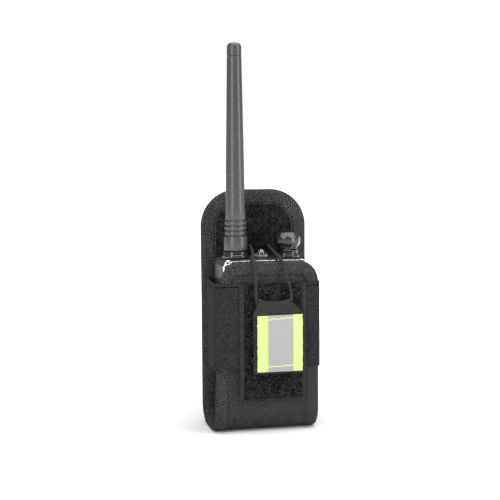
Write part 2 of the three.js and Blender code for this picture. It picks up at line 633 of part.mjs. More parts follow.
function buildControls() {
  const deckTop = radioTop + gap;
  const bore = shaft.radius + slip;
  const knobBottom = deckTop + seat.knobHeight + gap;
  const knobTop = knobBottom + knob.height;
  add("volume_seat", turned([
    [bore, deckTop], [seat.knobRadius + seat.foot, deckTop], [seat.knobRadius, deckTop + seat.footHeight],
    [seat.knobRadius, deckTop + seat.knobHeight], [bore, deckTop + seat.knobHeight], [bore, deckTop],
  ], knob.x, 20), casePlastic);
  add("volume_knob", turned([
    [0, knobBottom + knob.boreDepth], [bore, knobBottom + knob.boreDepth], [bore, knobBottom],
    [knob.neckRadius, knobBottom], [knob.radius - knob.shoulder, knobBottom + knob.neckHeight],
    [knob.radius, knobBottom + knob.neckHeight + 1], [knob.radius, knobTop - knob.chamfer],
    [knob.topRadius, knobTop], [0, knobTop],
  ], knob.x, knob.flats), casePlastic);
  add("volume_shaft", rod(
    knob.x, 0, deckBottom - shaft.below, knobBottom + knob.boreDepth - gap, shaft.radius, 16), castMetal);
  const housing = block(
    knob.x - volumeSwitch.side / 2, knob.x + volumeSwitch.side / 2,
    -volumeSwitch.side / 2, volumeSwitch.side / 2,
    deckBottom - gap - volumeSwitch.height, deckBottom - gap);
  add("volume_switch", solid(housing).subtract(solid(rod(knob.x, 0, 0, radioTop, bore))), castMetal);

  const whipBottom = deckTop + seat.antennaHeight + gap;
  const stubTop = whipBottom + antenna.boreDepth - gap;
  const stubBore = stub.radius + gap;
  add("antenna_seat", turned([
    [stubBore, deckTop], [seat.antennaRadius, deckTop], [seat.antennaRadius, deckTop + seat.antennaHeight],
    [stubBore, deckTop + seat.antennaHeight], [stubBore, deckTop],
  ], antenna.x, 20), casePlastic);
  add("antenna_connector", rod(antenna.x, 0, deckBottom - stub.below, stubTop, stub.radius, 16), brass);

  const profile = [
    [0, whipBottom + antenna.boreDepth], [stubBore, whipBottom + antenna.boreDepth],
    [stubBore, whipBottom], [antenna.baseRadius, whipBottom],
    [antenna.baseRadius, whipBottom + antenna.baseHeight],
  ];
  for (let i = 0; i < antenna.grooves; i += 1) {
    const z = whipBottom + antenna.baseHeight + i * antenna.ringPitch;
    const above = i === antenna.grooves - 1 ? antenna.footRadius : antenna.ringRadius;
    profile.push([antenna.grooveRadius, z], [antenna.grooveRadius, z + antenna.grooveWidth]);
    profile.push([above, z + antenna.grooveWidth]);
    if (i < antenna.grooves - 1) profile.push([above, z + antenna.ringPitch]);
  }
  const capBottom = whipBottom + antenna.height - antenna.capHeight;
  profile.push([antenna.kneeRadius, whipBottom + antenna.kneeHeight]);
  profile.push([antenna.tipRadius, capBottom - gap], [0, capBottom - gap]);
  add("antenna_whip", turned(profile, antenna.x, 20), antennaRubber);
  const dome = [[0, capBottom], [antenna.tipRadius, capBottom]];
  const domeRise = antenna.tipRadius * antenna.domeFlatness;
  for (let i = 0; i <= 4; i += 1) {
    const angle = (Math.PI / 2) * (i / 4);
    dome.push([
      i === 4 ? 0 : antenna.tipRadius * Math.cos(angle),
      capBottom + antenna.capHeight - domeRise + domeRise * Math.sin(angle),
    ]);
  }
  add("antenna_cap", turned(dome, antenna.x, 20), antennaRubber);

  const lens = [[0, deckTop], [torch.lensRadius, deckTop], [torch.lensRadius, deckTop + torch.lensSide]];
  for (let i = 1; i <= 4; i += 1) {
    const angle = (Math.PI / 2) * (i / 4);
    lens.push([
      i === 4 ? 0 : torch.lensRadius * Math.cos(angle),
      deckTop + torch.lensSide + (torch.lensHeight - torch.lensSide) * Math.sin(angle),
    ]);
  }
  add("torch_lens", turned(lens, torch.x, 16), clear);
  const ring = torch.lensRadius + gap;
  add("torch_bezel", turned([
    [ring, deckTop], [torch.bezelRadius, deckTop], [torch.bezelRadius, deckTop + torch.bezelHeight],
    [ring, deckTop + torch.bezelHeight], [ring, deckTop],
  ], torch.x, 16), chrome);
  add("torch_led", rod(torch.x, 0, deckBottom - torch.ledBelow, radioTop, torch.ledRadius, 12), clear);
}

buildHolster();
buildRetainer();
buildCases();
buildInside();
buildControls();

export default object;
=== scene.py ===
import math
import random

import bpy
from mathutils import Euler, Matrix, Vector, noise


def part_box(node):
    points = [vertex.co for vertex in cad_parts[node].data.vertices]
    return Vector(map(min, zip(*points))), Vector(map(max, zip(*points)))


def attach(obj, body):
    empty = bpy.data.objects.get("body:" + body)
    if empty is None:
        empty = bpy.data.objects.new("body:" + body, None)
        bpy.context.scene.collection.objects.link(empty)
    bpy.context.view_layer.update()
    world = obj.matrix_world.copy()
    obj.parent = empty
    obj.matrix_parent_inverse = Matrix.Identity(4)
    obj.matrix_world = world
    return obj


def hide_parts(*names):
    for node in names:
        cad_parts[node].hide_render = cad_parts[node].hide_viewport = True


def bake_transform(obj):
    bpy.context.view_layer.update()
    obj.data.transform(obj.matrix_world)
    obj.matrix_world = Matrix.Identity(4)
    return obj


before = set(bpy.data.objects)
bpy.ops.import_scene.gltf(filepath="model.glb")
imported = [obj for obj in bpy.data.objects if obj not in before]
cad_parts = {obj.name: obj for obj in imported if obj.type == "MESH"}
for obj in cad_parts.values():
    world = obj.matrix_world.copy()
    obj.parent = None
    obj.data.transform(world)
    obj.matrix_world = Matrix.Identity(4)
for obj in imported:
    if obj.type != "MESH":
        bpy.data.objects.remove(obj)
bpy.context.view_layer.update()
MM = 0.001

# ---------------------------------------------------------------- camera
# A long lens stands to the left of the holster and a little above its middle, looking slightly down.

eye = Vector((-0.13312, -0.61339, 0.17382))
heading, tilt, roll = math.radians(11.66), math.radians(4.94), math.radians(-0.37)
bpy.ops.object.camera_add(location=eye)
camera = bpy.context.object
aim = Euler((math.pi / 2 - tilt, 0, -heading)).to_matrix() @ Matrix.Rotation(roll, 3, "Z")
camera.rotation_euler = aim.to_euler()
camera.data.sensor_width = 36
camera.data.lens = 67.33
camera.data.clip_start = 0.01
bpy.context.scene.camera = camera

# ---------------------------------------------------------------- retainer cord
# One length of braided elastic cord. Both ends are sewn into the back panel, and its middle runs
# through the folded top of the pull tab.

holster_low, holster_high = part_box("sling_binding")
tab_low, tab_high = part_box("pull_tab")
tab_middle = tab_high.y - 1.9 * MM
to_frame = holster_low.y + 20 * MM          # from the holster's own depth scale to the frame's

cord_route = [
    (10.7, 20.5, 120.2), (10.2, 16.6, 120.6), (8.6, 10, 120.8), (8.4, 0, 119.7), (8, -9, 118.4),
    (8.5, -15, 117.3), (8.9, -18.4, 116.6), (9.4, -21, 115.2), (10.3, -22, 112.6), (12, -22.6, 107),
    (13.1, -24.1, 102), (14.4, -24.9, 97.5), (15.3, -25.1, 93.4), (15.6, -25.4, 90.4),
    (14.7, -25.4, 87.8), (12.2, -25.4, 86.6), (3.5, -25.4, 86.6), (-4.8, -25.4, 86.6),
    (-7.2, -25.4, 87.8), (-8.1, -25.4, 90.4), (-8.2, -25, 96.2), (-8.1, -24.2, 102),
    (-8.3, -22.8, 107.5), (-8.8, -22, 112.6), (-9, -21, 115.2), (-8.8, -18.4, 116.8),
    (-8.1, -15, 117.7), (-6.6, -8, 118.8), (-5.7, 0, 120), (-4.7, 8, 121), (-3.5, 16.6, 121.4),
    (-3.1, 20.5, 121.2),
]
cord_radius = 1.12 * MM


def in_frame(x, y, z):
    return Vector((x * MM, y * MM + to_frame, z * MM))


def smooth_path(points, spacing):
    """Points at an even spacing along a Catmull-Rom curve through the given ones."""
    fine = []
    ends = [2 * points[0] - points[1], *points, 2 * points[-1] - points[-2]]
    for a, b, c, d in zip(ends, ends[1:], ends[2:], ends[3:]):
        for step in range(16):
            t = step / 16
            fine.append(0.5 * (2 * b + (c - a) * t + (2 * a - 5 * b + 4 * c - d) * t * t
                               + (3 * b - a - 3 * c + d) * t ** 3))
    fine.append(points[-1])
    even, walked = [fine[0]], 0
    for p, q in zip(fine, fine[1:]):
        walked += (q - p).length
        if walked >= spacing:
            even.append(q)
            walked = 0
    even.append(fine[-1])
    return even


def mesh_piece(name, vertices, faces, uvs=None, smooth=True):
    """A new object at the origin from points and faces, with a UV map from one place per vertex."""
    mesh = bpy.data.meshes.new(name)
    mesh.from_pydata([tuple(v) for v in vertices], [], faces)
    if uvs:
        layer = mesh.uv_layers.new(name="UVMap")
        for corner in mesh.loops:
            layer.data[corner.index].uv = uvs[corner.vertex_index]
    mesh.validate()
    piece = bpy.data.objects.new(name, mesh)
    bpy.context.collection.objects.link(piece)
    bpy.ops.object.select_all(action="DESELECT")
    piece.select_set(True)
    bpy.context.view_layer.objects.active = piece
    if smooth:
        bpy.ops.object.shade_smooth()
    return piece


def swept(name, centres, sides, radius, turns_uv=1.0):
    """A round rod along a path, closed at both ends, with UV as length along it and turn round it."""
    vertices, faces, uvs = [], [], []
    starts_sideways = abs((centres[1] - centres[0]).normalized().x) >= 0.9
    reference = Vector((0, 0, 1)) if starts_sideways else Vector((1, 0, 0))
    length = 0
    for i, centre in enumerate(centres):
        ahead = (centres[min(i + 1, len(centres) - 1)] - centres[max(i - 1, 0)]).normalized()
        reference = (reference - ahead * reference.dot(ahead)).normalized()
        across = ahead.cross(reference)
        if i:
            length += (centre - centres[i - 1]).length
        for k in range(sides):
            angle = 2 * math.pi * k / sides
            vertices.append(centre + radius * (math.cos(angle) * reference + math.sin(angle) * across))
            uvs.append((length, turns_uv * k / sides))
    for i in range(len(centres) - 1):
        for k in range(sides):
            a, b = i * sides + k, i * sides + (k + 1) % sides
            faces.append((a, b, b + sides, a + sides))
    faces.append(tuple(reversed(range(sides))))
    faces.append(tuple(range((len(centres) - 1) * sides, len(centres) * sides)))
    return mesh_piece(name, vertices, faces, uvs)


# The cord is cut into three pieces: the loop over the top and the two ends that leave the back panel.
cord_line = smooth_path([in_frame(*p) for p in cord_route], 0.7 * MM)
over_top = [i for i, place in enumerate(cord_line) if place.y < 2 * MM]
first, last = over_top[0], over_top[-1]
at_back = ("holster", "retainer", Vector((0, 19 * MM, 120.7 * MM)), Vector((0, 12 * MM, 120.7 * MM)))
at_front = ("retainer", "tab", Vector((0, -20.5 * MM, 117 * MM)), Vector((0, -24 * MM, 109.5 * MM)))
cord_pieces = []
for name, centres, (before, after, start, end) in (
        ("retainer_elastic_loop", cord_line[first:last + 1], at_front),
        ("retainer_elastic_right_end", cord_line[:first + 1], at_back),
        ("retainer_elastic_left_end", cord_line[last:], at_back)):
    piece = swept(name, centres, 16, cord_radius)
    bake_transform(piece)
    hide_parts("retainer_cord")
    cord_pieces.append(piece)

# Shader values are worked out with ordinary arithmetic, and one call adds any other node.


class Wire:
    """A shader socket. Arithmetic on it adds the Math nodes that work the result out."""

    def __init__(self, tree, socket=None):
        self.tree, self.socket = tree, socket

    def node(self, kind, inputs=None, out=0, stops=None, **settings):
        new = self.tree.nodes.new("ShaderNode" + kind)
        for key, value in settings.items():
            setattr(new, key, value)
        if stops:
            elements = new.color_ramp.elements
            while len(elements) < len(stops):
                elements.new(0.5)
            for element, (place, grey) in zip(elements, stops):
                element.position, element.color = place, (grey, grey, grey, 1)
        for key, value in (inputs or {}).items():
            if isinstance(value, Wire):
                self.tree.links.new(value.socket, new.inputs[key])
            else:
                new.inputs[key].default_value = value
        return Wire(self.tree, new.outputs[out])

    def math(self, operation, *terms):
        return self.node("Math", dict(enumerate(terms)), operation=operation)

    def __add__(self, other):
        return self.math("ADD", self, other)

    def __sub__(self, other):
        return self.math("SUBTRACT", self, other)

    def __rsub__(self, other):
        return self.math("SUBTRACT", other, self)

    def __mul__(self, other):
        return self.math("MULTIPLY", self, other)

    def __lt__(self, other):
        return self.math("LESS_THAN", self, other)

    def __gt__(self, other):
        return self.math("GREATER_THAN", self, other)

    def __abs__(self):
        return self.math("ABSOLUTE", self)

    def __mod__(self, other):
        return self.math("FLOORED_MODULO", self, other)

    __radd__ = __add__
    __rmul__ = __mul__

    def sine(self):
        return self.math("SINE", self)

    def part(self, place, axis=0):
        """One of a place's three coordinates."""
        return self.node("SeparateXYZ", {"Vector": place}, out=axis)

    def noise(self, place, scale, detail=3.0, roughness=0.55):
        settings = {"Vector": place, "Scale": scale, "Detail": detail, "Roughness": roughness}
        return self.node("TexNoise", settings)

    def blend(self, factor, low, high):
        """A colour between two, each a colour or a wire."""
        colours = {0: factor}
        for index, colour in ((6, low), (7, high)):
            colours[index] = colour if isinstance(colour, Wire) else (*colour, 1)
        return self.node("Mix", colours, out=2, data_type="RGBA")


def material(name, paint, **constants):
    """A material whose paint function returns colour, roughness, and height with its depth in metres."""
    made = bpy.data.materials.new(name)
    made.use_nodes = True
    tree = made.node_tree
    shader = tree.nodes["Principled BSDF"]
    wire = Wire(tree)
    place = wire.node("TexCoord", out="Object")
    cloth = wire.node("TexCoord", out="UV")
    colour, roughness, height, depth = paint(wire, place, cloth)
    for key, value in (("Base Color", colour), ("Roughness", roughness)):
        if isinstance(value, Wire):
            tree.links.new(value.socket, shader.inputs[key])
        else:
            shader.inputs[key].default_value = (*value, 1) if isinstance(value, tuple) else value
    if height is not None:
        bump = wire.node("Bump", {"Height": height, "Distance": depth, "Strength": 1.0})
        tree.links.new(bump.socket, shader.inputs["Normal"])
    for key, value in constants.items():
        shader.inputs[key.replace("_", " ")].default_value = value
    return made


def dress(piece, finish):
    piece.data.materials.clear()
    piece.data.materials.append(finish)


def braid(wire, place, cloth):
    along, around = wire.part(cloth), wire.part(cloth, 1)
    left = (along * 4200 + around * 12.566).sine()
    right = (along * 4200 - around * 12.566).sine()
    plait = wire.math("MAXIMUM", left, right) * 0.5 + 0.5
    mottled = wire.noise(place, 900)
    colour = wire.blend(plait * 0.7 + mottled * 0.3, (0.008, 0.0075, 0.009), (0.036, 0.034, 0.038))
    return colour, 0.75, plait, 0.00012


cord_finish = material("cord_braid", braid, Specular_IOR_Level=0.15)
for piece in cord_pieces:
    dress(piece, cord_finish)

# ---------------------------------------------------------------- sling
# One long strip of padded nylon, bent into a U with the front panel shorter than the back. The
# outside is twill, the inside is brushed loop, and the edges are bound all round.

strip_back, strip_front = 36.7 * MM, 35.1 * MM          # half widths
front_top = 113.6 * MM
back_top = holster_high.z
face_back, face_front = holster_high.y, holster_low.y
bend = 15 * MM
back_corner, front_corner = 25 * MM, 14 * MM
bound = 8.6 * MM                 # how far in from the edge the binding hides the layers
run_down = back_top - bend
run_bend = math.pi / 2 * bend
run_flat = face_back - face_front - 2 * bend
strip_length = run_down + 2 * run_bend + run_flat + front_top - bend


def folded(x, s, t):
    """Where a point of the flat strip goes: x across it, s along it from the back's top, t into it."""
    a, b, c = run_down, run_down + run_bend, run_down + run_bend + run_flat
    if s < a:
        y, z = face_back - t, back_top - s
    elif s < b:
        angle = (s - a) / bend
        y, z = face_back - bend + (bend - t) * math.cos(angle), bend - (bend - t) * math.sin(angle)
    elif s < c:
        y, z = face_back - bend - (s - b), t
    elif s < c + run_bend:
        angle = (s - c) / bend
        y, z = face_front + bend - (bend - t) * math.sin(angle), bend - (bend - t) * math.cos(angle)
    else:
        y, z = face_front + t, bend + s - c - run_bend
    forward = (face_back - y) / (face_back - face_front)
    narrow = 1 - forward * (1 - strip_front / strip_back)
    x *= narrow
    if x < 0 and s > b:
        under_band = 1.1 * min(max((z / MM - 25) / 30, 0), 1)
        corner = 3.2 * min(max((z / MM - 86) / 20, 0), 1)
        x += (1.1 * forward ** 4 + under_band + corner) * MM * (-x / strip_front) ** 1.5
    return Vector((x, y, z))


def strip_half_width(s, inset):
    """Half the strip's width at s, inside its outline drawn in by inset."""
    for from_end, radius in ((s, back_corner), (strip_length - s, front_corner)):
        if from_end < radius:
            reach = max((radius - inset) ** 2 - (radius - from_end) ** 2, 0)
            return strip_back - radius + math.sqrt(reach)
    return strip_back - inset


def turn_faces_out():
    """Turns every face of the active object outwards."""
    bpy.ops.object.mode_set(mode="EDIT")
    bpy.ops.mesh.select_all(action="SELECT")
    bpy.ops.mesh.normals_make_consistent(inside=False)
    bpy.ops.object.mode_set(mode="OBJECT")


def slab(name, rows, columns, point, thick):
    """A closed sheet: point(i, j, depth) gives its two faces, and the rim joins them."""
    vertices, uvs, faces = [], [], []
    for depth in (0, thick):
        for i in range(rows):
            for j in range(columns):
                place, uv = point(i, j, depth)
                vertices.append(place)
                uvs.append(uv)
    layer = rows * columns

    def at(i, j, k):
        return k * layer + i * columns + j

    for i in range(rows - 1):
        for j in range(columns - 1):
            faces.append((at(i, j, 0), at(i, j + 1, 0), at(i + 1, j + 1, 0), at(i + 1, j, 0)))
            faces.append((at(i, j, 1), at(i + 1, j, 1), at(i + 1, j + 1, 1), at(i, j + 1, 1)))
    last_row, last_column = rows - 1, columns - 1
    for i, k in zip(range(last_row), range(1, rows)):
        faces.append((at(i, 0, 0), at(k, 0, 0), at(k, 0, 1), at(i, 0, 1)))
        faces.append((at(i, last_column, 0), at(i, last_column, 1), at(k, last_column, 1), at(k, last_column, 0)))
    for j, k in zip(range(last_column), range(1, columns)):
        faces.append((at(0, j, 0), at(0, j, 1), at(0, k, 1), at(0, k, 0)))
        faces.append((at(last_row, j, 0), at(last_row, k, 0), at(last_row, k, 1), at(last_row, j, 1)))
    piece = mesh_piece(name, vertices, faces, uvs)
    turn_faces_out()
    bpy.ops.object.shade_smooth_by_angle(angle=math.radians(50))
    return piece


def strip_layer(name, top_depth, thick, pile, puff):
    rows, columns = 190, 44
    start, stop = bound + 0.05 * MM, strip_length - bound - 0.05 * MM

    def point(i, j, depth):
        s = start + (stop - start) * i / (rows - 1)
        across = 2 * j / (columns - 1) - 1
        x = strip_half_width(s, bound) * across
        soft = puff * (1 - across ** 4) * MM
        tuft = pile * noise.noise(Vector((x, s, top_depth)) * 900) * MM
        return folded(x, s, top_depth + depth + (soft if depth else -soft) * 0.5 + tuft), (x, s)

    return slab(name, rows, columns, point, thick)


def bound_edge(name, width, flare):
    """The binding: one tape folded over the strip's edge, all the way round it."""
    section = [
        (width, 0.4), (width, -0.12), (width - 0.5, -0.32), (5.5, -0.42), (1.7, -0.3), (0.6, 0.15),
        (0.05, 0.9), (-flare, 1.5), (0.05, 2.1), (0.6, 2.85), (1.7, 3.3), (5.5, 3.42),
        (width - 0.5, 3.32), (width, 3.12), (width, 2.6),
    ]
    loop = []
    side = strip_back
    corners = [
        (back_corner, side - back_corner, back_corner, 0),
        (front_corner, side - front_corner, strip_length - front_corner, 1),
        (front_corner, front_corner - side, strip_length - front_corner, 2),
        (back_corner, back_corner - side, back_corner, 3),
    ]
    for radius, x, s, quarter in corners:
        for step in range(17):
            angle = -math.pi / 2 + (quarter + step / 16) * math.pi / 2
            loop.append((x, s, radius, math.cos(angle), math.sin(angle)))
    full = []

    def on_edge(turn):
        x, s, radius, nx, ns = turn
        return x + radius * nx, s + radius * ns

    for here, there in zip(loop, loop[1:] + loop[:1]):
        full.append(here)
        span = math.dist(on_edge(here), on_edge(there))
        pieces = max(1, round(span / (1.6 * MM)))
        for step in range(1, pieces):
            f = step / pieces
            full.append(tuple(here[k] + (there[k] - here[k]) * f for k in range(5)))
    under = min(range(len(full)), key=lambda k: abs(on_edge(full[k])[1] - strip_length / 2))
    full = full[under:] + full[:under]          # the tape's two ends meet under the holster
    vertices, uvs, faces = [], [], []
    walked, before = 0, None
    for x, s, radius, nx, ns in full:
        edge = on_edge((x, s, radius, nx, ns))
        if before:
            walked += math.dist(edge, before)
        before = edge
        ripple = 0.12 * noise.noise(Vector((edge[0], edge[1], 0)) * 160)
        for d, t in section:
            reach = radius - d * MM
            lift = ripple * (1 if t > 1.5 else -1)
            vertices.append(folded(x + reach * nx, s + reach * ns, (t + lift) * MM))
            uvs.append((walked, (d + (30 if t > 1.5 else 0)) * MM))
    count, span = len(section), len(full)
    for i in range(span):
        for k in range(count):
            a, b = i * count + k, i * count + (k + 1) % count
            c, d = ((i + 1) % span) * count + (k + 1) % count, ((i + 1) % span) * count + k
            faces.append((a, b, c, d))
    piece = mesh_piece(name, vertices, faces, uvs)
    turn_faces_out()
    bpy.ops.object.shade_smooth_by_angle(angle=math.radians(50))
    return piece


def twill(wire, place, cloth):
    """Plain nylon pack cloth: fine threads at a slant, some of them brighter."""
    x, s = wire.part(cloth), wire.part(cloth, 1)
    wander = wire.noise(cloth, 420, 2.0) * 5.0
    one_way = (x * 3300 + s * 3300 + wander).sine()
    other_way = (x * 3700 - s * 3700 - wander).sine()
    weave = (one_way + other_way) * 0.25 + 0.5
    threads = wire.noise(place, 1000, 2.0, 0.9)
    worn = wire.noise(place, 55, 4.0)
    tone = weave * 0.85 + threads * 2.4 + worn * 0.3 - 1.4
    colour = wire.blend(tone, (0.0015, 0.0012, 0.0015), (0.085, 0.079, 0.083))
    return colour, 0.85, weave * 0.5 + threads * 0.5, 0.0003


def herringbone(wire, place, cloth):
    """Binding tape: ribs that slant one way, then the other, across the tape."""
    u, v = wire.part(cloth), wire.part(cloth, 1)
    zigzag = abs((v * 95) % 1.0 - 0.5) * 0.0125
    wander = wire.noise(cloth, 260, 2.0) * 2.2
    rib = ((u + zigzag) * 2950 + wander).sine() * 0.5 + 0.5
    threads = wire.noise(place, 900, 2.0, 0.85)
    seam = abs(v % 0.03 - 0.0088) < 0.0004
    stitch = seam * ((u % 0.0028) > 0.0007)
    worn = wire.noise(place, 70, 4.0)
    tone = rib * 0.7 + threads * 1.6 + worn * 0.3 - 0.92
    colour = wire.blend(tone, (0.002, 0.0015, 0.002), (0.1, 0.095, 0.099))
    colour = wire.blend(stitch * 0.8, colour, (0.006, 0.006, 0.007))
    return colour, 0.85, rib * 0.7 + threads * 0.3 - seam * 1.2, 0.0004


def pile(wire, place, cloth):
    """Brushed loop: tangled short threads with no direction."""
    wide = wire.noise(place, 560, 3.0, 0.7)
    tight = wire.noise(place, 1500, 2.0, 0.8)
    tangle = wide * 0.45 + tight * 0.55
    tone = wire.node("ValToRGB", {"Fac": tangle}, stops=[(0.43, 0.0), (0.66, 1.0)])
    return wire.blend(tone, (0.0006, 0.0005, 0.0008), (0.05, 0.044, 0.05)), 0.95, tangle, 0.0009


cloth_look = dict(Specular_IOR_Level=0.06)
twill_finish = material("pack_cloth", twill, **cloth_look)
tape_finish = material("herringbone_tape", herringbone, **cloth_look)
pile_finish = material("loop_pile", pile, Specular_IOR_Level=0.02)

sling_outside = strip_layer("sling_outer_cloth", 0.2 * MM, 1.1 * MM, 0.03, 0.5)
sling_inside = strip_layer("sling_loop_lining", 1.7 * MM, 1.0 * MM, 0.22, 0.4)
sling_edge = bound_edge("sling_edge_binding", 10.2, 0.25)
for piece, node, slot_name, finish in (
    (sling_outside, "sling_shell", "nylon", twill_finish),
    (sling_inside, "sling_lining", "loop_pile", pile_finish),
    (sling_edge, "sling_binding", "binding_tape", tape_finish),
):
    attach(piece, "holster")
    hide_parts(node)
    dress(piece, finish)

# ---------------------------------------------------------------- elastic side bands
# Knitted elastic sewn under the loop patch, stretched round each side and sewn to the back. Its
# top edge is turned over and stitched, and its lower back corner is cut away.

elastic_low, elastic_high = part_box("elastic_band")
elastic_thick = 1.15 * MM
elastic_bottom, elastic_top = elastic_low.z, elastic_high.z
cut_start, cut_rise = 2 * MM, 12 * MM


def elastic_plan(side):
    """The band's line seen from above, from under the patch round to the back."""
    front = elastic_low.y + 0.6 * MM
    back = elastic_high.y - 0.6 * MM
    start = -13 * MM if side < 0 else 20 * MM      # under the loop patch
    wide = 34.6 * MM if side < 0 else 35.9 * MM
    points = [
        (start, front), (side * (wide - 8 * MM), front),
        (side * (wide - 3 * MM), front), (side * (wide - 1.2 * MM), front + 0.4 * MM),
        (side * (wide - 0.3 * MM), front + 1.7 * MM), (side * wide, front + 5 * MM),
        (side * (wide + 0.1 * MM), front + 12 * MM), (side * 34.9 * MM, front + 20 * MM),
        (side * 34.2 * MM, back - 11 * MM), (side * 33.3 * MM, back - 4 * MM),
        (side * 32.8 * MM, back - 1.4 * MM), (side * 31.6 * MM, back - 0.1 * MM),
        (side * 29.5 * MM, back), (side * 27 * MM, back),
    ]
    return smooth_path([Vector((x, y, 0)) for x, y in points], 0.9 * MM)


def elastic_side(name, side):
    plan = elastic_plan(side)
    rows = 60
    lengths = [0]
    for p, q in zip(plan, plan[1:]):
        lengths.append(lengths[-1] + (q - p).length)

    def point(i, j, depth):
        here = plan[j]
        ahead = (plan[min(j + 1, len(plan) - 1)] - plan[max(j - 1, 0)]).normalized()
        outward = Vector((ahead.y, -ahead.x, 0)) * (-side)
        cut = min(max((here.y - cut_start) / (elastic_high.y - cut_start), 0), 1) * cut_rise
        rise = 0.6 * MM * min(max((here.y - face_front) / (face_back - face_front), 0), 1)
        low = elastic_bottom + cut
        f = i / (rows - 1)
        z = low + (elastic_top + rise - low) * f
        from_top = (elastic_top + rise - z) / MM
        hem = 0.3 * MM * (from_top < 5.5)
        groove = -0.35 * MM * math.exp(-((from_top - 5.6) / 0.5) ** 2)
        edge = 0.25 * MM * math.exp(-((z - low) / (0.8 * MM)) ** 2)
        slack = 0.5 * MM * noise.noise(Vector((lengths[j] * 45, z * 30, side * 7))) * math.sin(math.pi * f)
        crease = -0.35 * MM * math.exp(-((abs(here.x) - 29.5 * MM) / (0.9 * MM)) ** 2) * (here.y < 0)
        out = (hem + groove + edge + slack + crease) * (1 if depth == 0 else 0.3)
        shift = elastic_thick / 2 - depth + out
        place = here + outward * shift
        return Vector((place.x, place.y, z)), (lengths[j], z)

    return slab(name, rows, len(plan), point, elastic_thick)


def knit(wire, place, cloth):
    u, v = wire.part(cloth), wire.part(cloth, 1)
    wander = wire.noise(cloth, 300, 2.0) * 3.0
    wale = (u * 5200 + wander).sine() * 0.5 + 0.5
    course = (v * 6400 + wander).sine() * 0.5 + 0.5
    loops = wale * 0.5 + course * 0.5
    fluff = wire.noise(place, 950, 2.0, 0.85)
    # Painted shade: a darker line 2.3 mm under the top edge stands in for the shadow in the hem's stitched
    # groove.
    hem = abs(v - elastic_top + 2.3 * MM) < 0.35 * MM
    tone = loops * 0.35 + fluff * 1.6 - hem * 0.45 - 0.55
    colour = wire.blend(tone, (0.003, 0.0026, 0.0032), (0.05, 0.046, 0.052))
    return colour, 0.88, loops * 0.6 + fluff * 0.4, 0.0002


knit_finish = material("knitted_elastic", knit, Specular_IOR_Level=0.06)
elastic_bands = {}
for name, side in (("elastic_left", -1), ("elastic_right", 1)):
    band = elastic_bands[side] = elastic_side(name, side)
    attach(band, "holster")
    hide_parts("elastic_band")
    dress(band, knit_finish)

# ---------------------------------------------------------------- loop patch
# The soft half of the hook-and-loop closure: brushed loop on a cloth backing, its two long sides
# turned under and sewn, so a smooth hem shows down each side.

patch_low, patch_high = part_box("loop_patch")
hem = 2.8 * MM


def patch_point(i, j, depth, rows=200, columns=120):
    u, v = j / (columns - 1), i / (rows - 1)
    x = patch_low.x + (patch_high.x - patch_low.x) * u
    z = patch_low.z + (patch_high.z - patch_low.z) * v
    from_side = min(x - patch_low.x, patch_high.x - x)
    from_end = min(z - patch_low.z, patch_high.z - z)
    fuzz = min(max((from_side - hem) / (0.5 * MM), 0), 1) * min(from_end / (1.2 * MM), 1)
    here = Vector((x, 0, z))
    tuft = 0.42 * noise.noise(here * 620) + 0.3 * noise.noise(here * 1400)
    wave = 0.25 * noise.noise(here * 42)
    rounded = -0.7 * math.exp(-(from_side / (0.7 * MM)) ** 2)
    seam = -0.35 * math.exp(-((from_side - hem) / (0.45 * MM)) ** 2)
    stitch = -0.3 * math.exp(-((z - patch_low.z - 7.2 * MM) / (0.5 * MM)) ** 2) * fuzz
    out = (fuzz * (tuft + 0.15) + rounded + seam + stitch) * MM if depth == 0 else 0
    x += 0.25 * MM * noise.noise(Vector((z * 90, u * 3, 1)))
    z += 0.3 * MM * noise.noise(Vector((x * 70, v * 3, 5)))
    return Vector((x, patch_low.y + 0.35 * MM + depth - out + wave * MM * 0.4, z)), (u, v)


def patch_paint(wire, place, cloth):
    u = wire.part(cloth)
    colour, rough, tangle, depth = pile(wire, place, cloth)
    side = hem / (patch_high.x - patch_low.x)
    hemmed = 0.5 - abs(u - 0.5) < side
    ribs = wire.part(place, 2)
    grain = (ribs * 7000).sine() * 0.5 + 0.5
    tone = grain * 0.4 + wire.noise(place, 400) * 0.6
    band = wire.blend(tone, (0.008, 0.0074, 0.008), (0.06, 0.057, 0.06))
    return wire.blend(hemmed, colour, band), rough, tangle, depth


patch = slab("front_loop_patch", 200, 120, patch_point, 1.0 * MM)
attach(patch, "holster")
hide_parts("loop_patch")
dress(patch, material("patch_loop", patch_paint, Specular_IOR_Level=0.02))

# ---------------------------------------------------------------- pull tab
# A length of wide webbing folded over the cord and sewn to itself, drawn in at the fold. The hook
# tape on its back grips the loop patch.

tab_thick = 1.2 * MM
tab_left, tab_right = tab_low.x, tab_high.x
fold_height = 86.6 * MM
fold_radius = 2.0 * MM
shoulder = 78.5 * MM


def tab_edges(z):
    """The webbing's left and right edges at a height: straight, then drawn in towards the fold."""
    f = min(max((z - shoulder) / (fold_height + 1.5 * MM - shoulder), 0), 1)
    drawn = f * f * (3 - 2 * f)
    return tab_left + 3.4 * MM * drawn, tab_right - 8.4 * MM * drawn ** 0.8


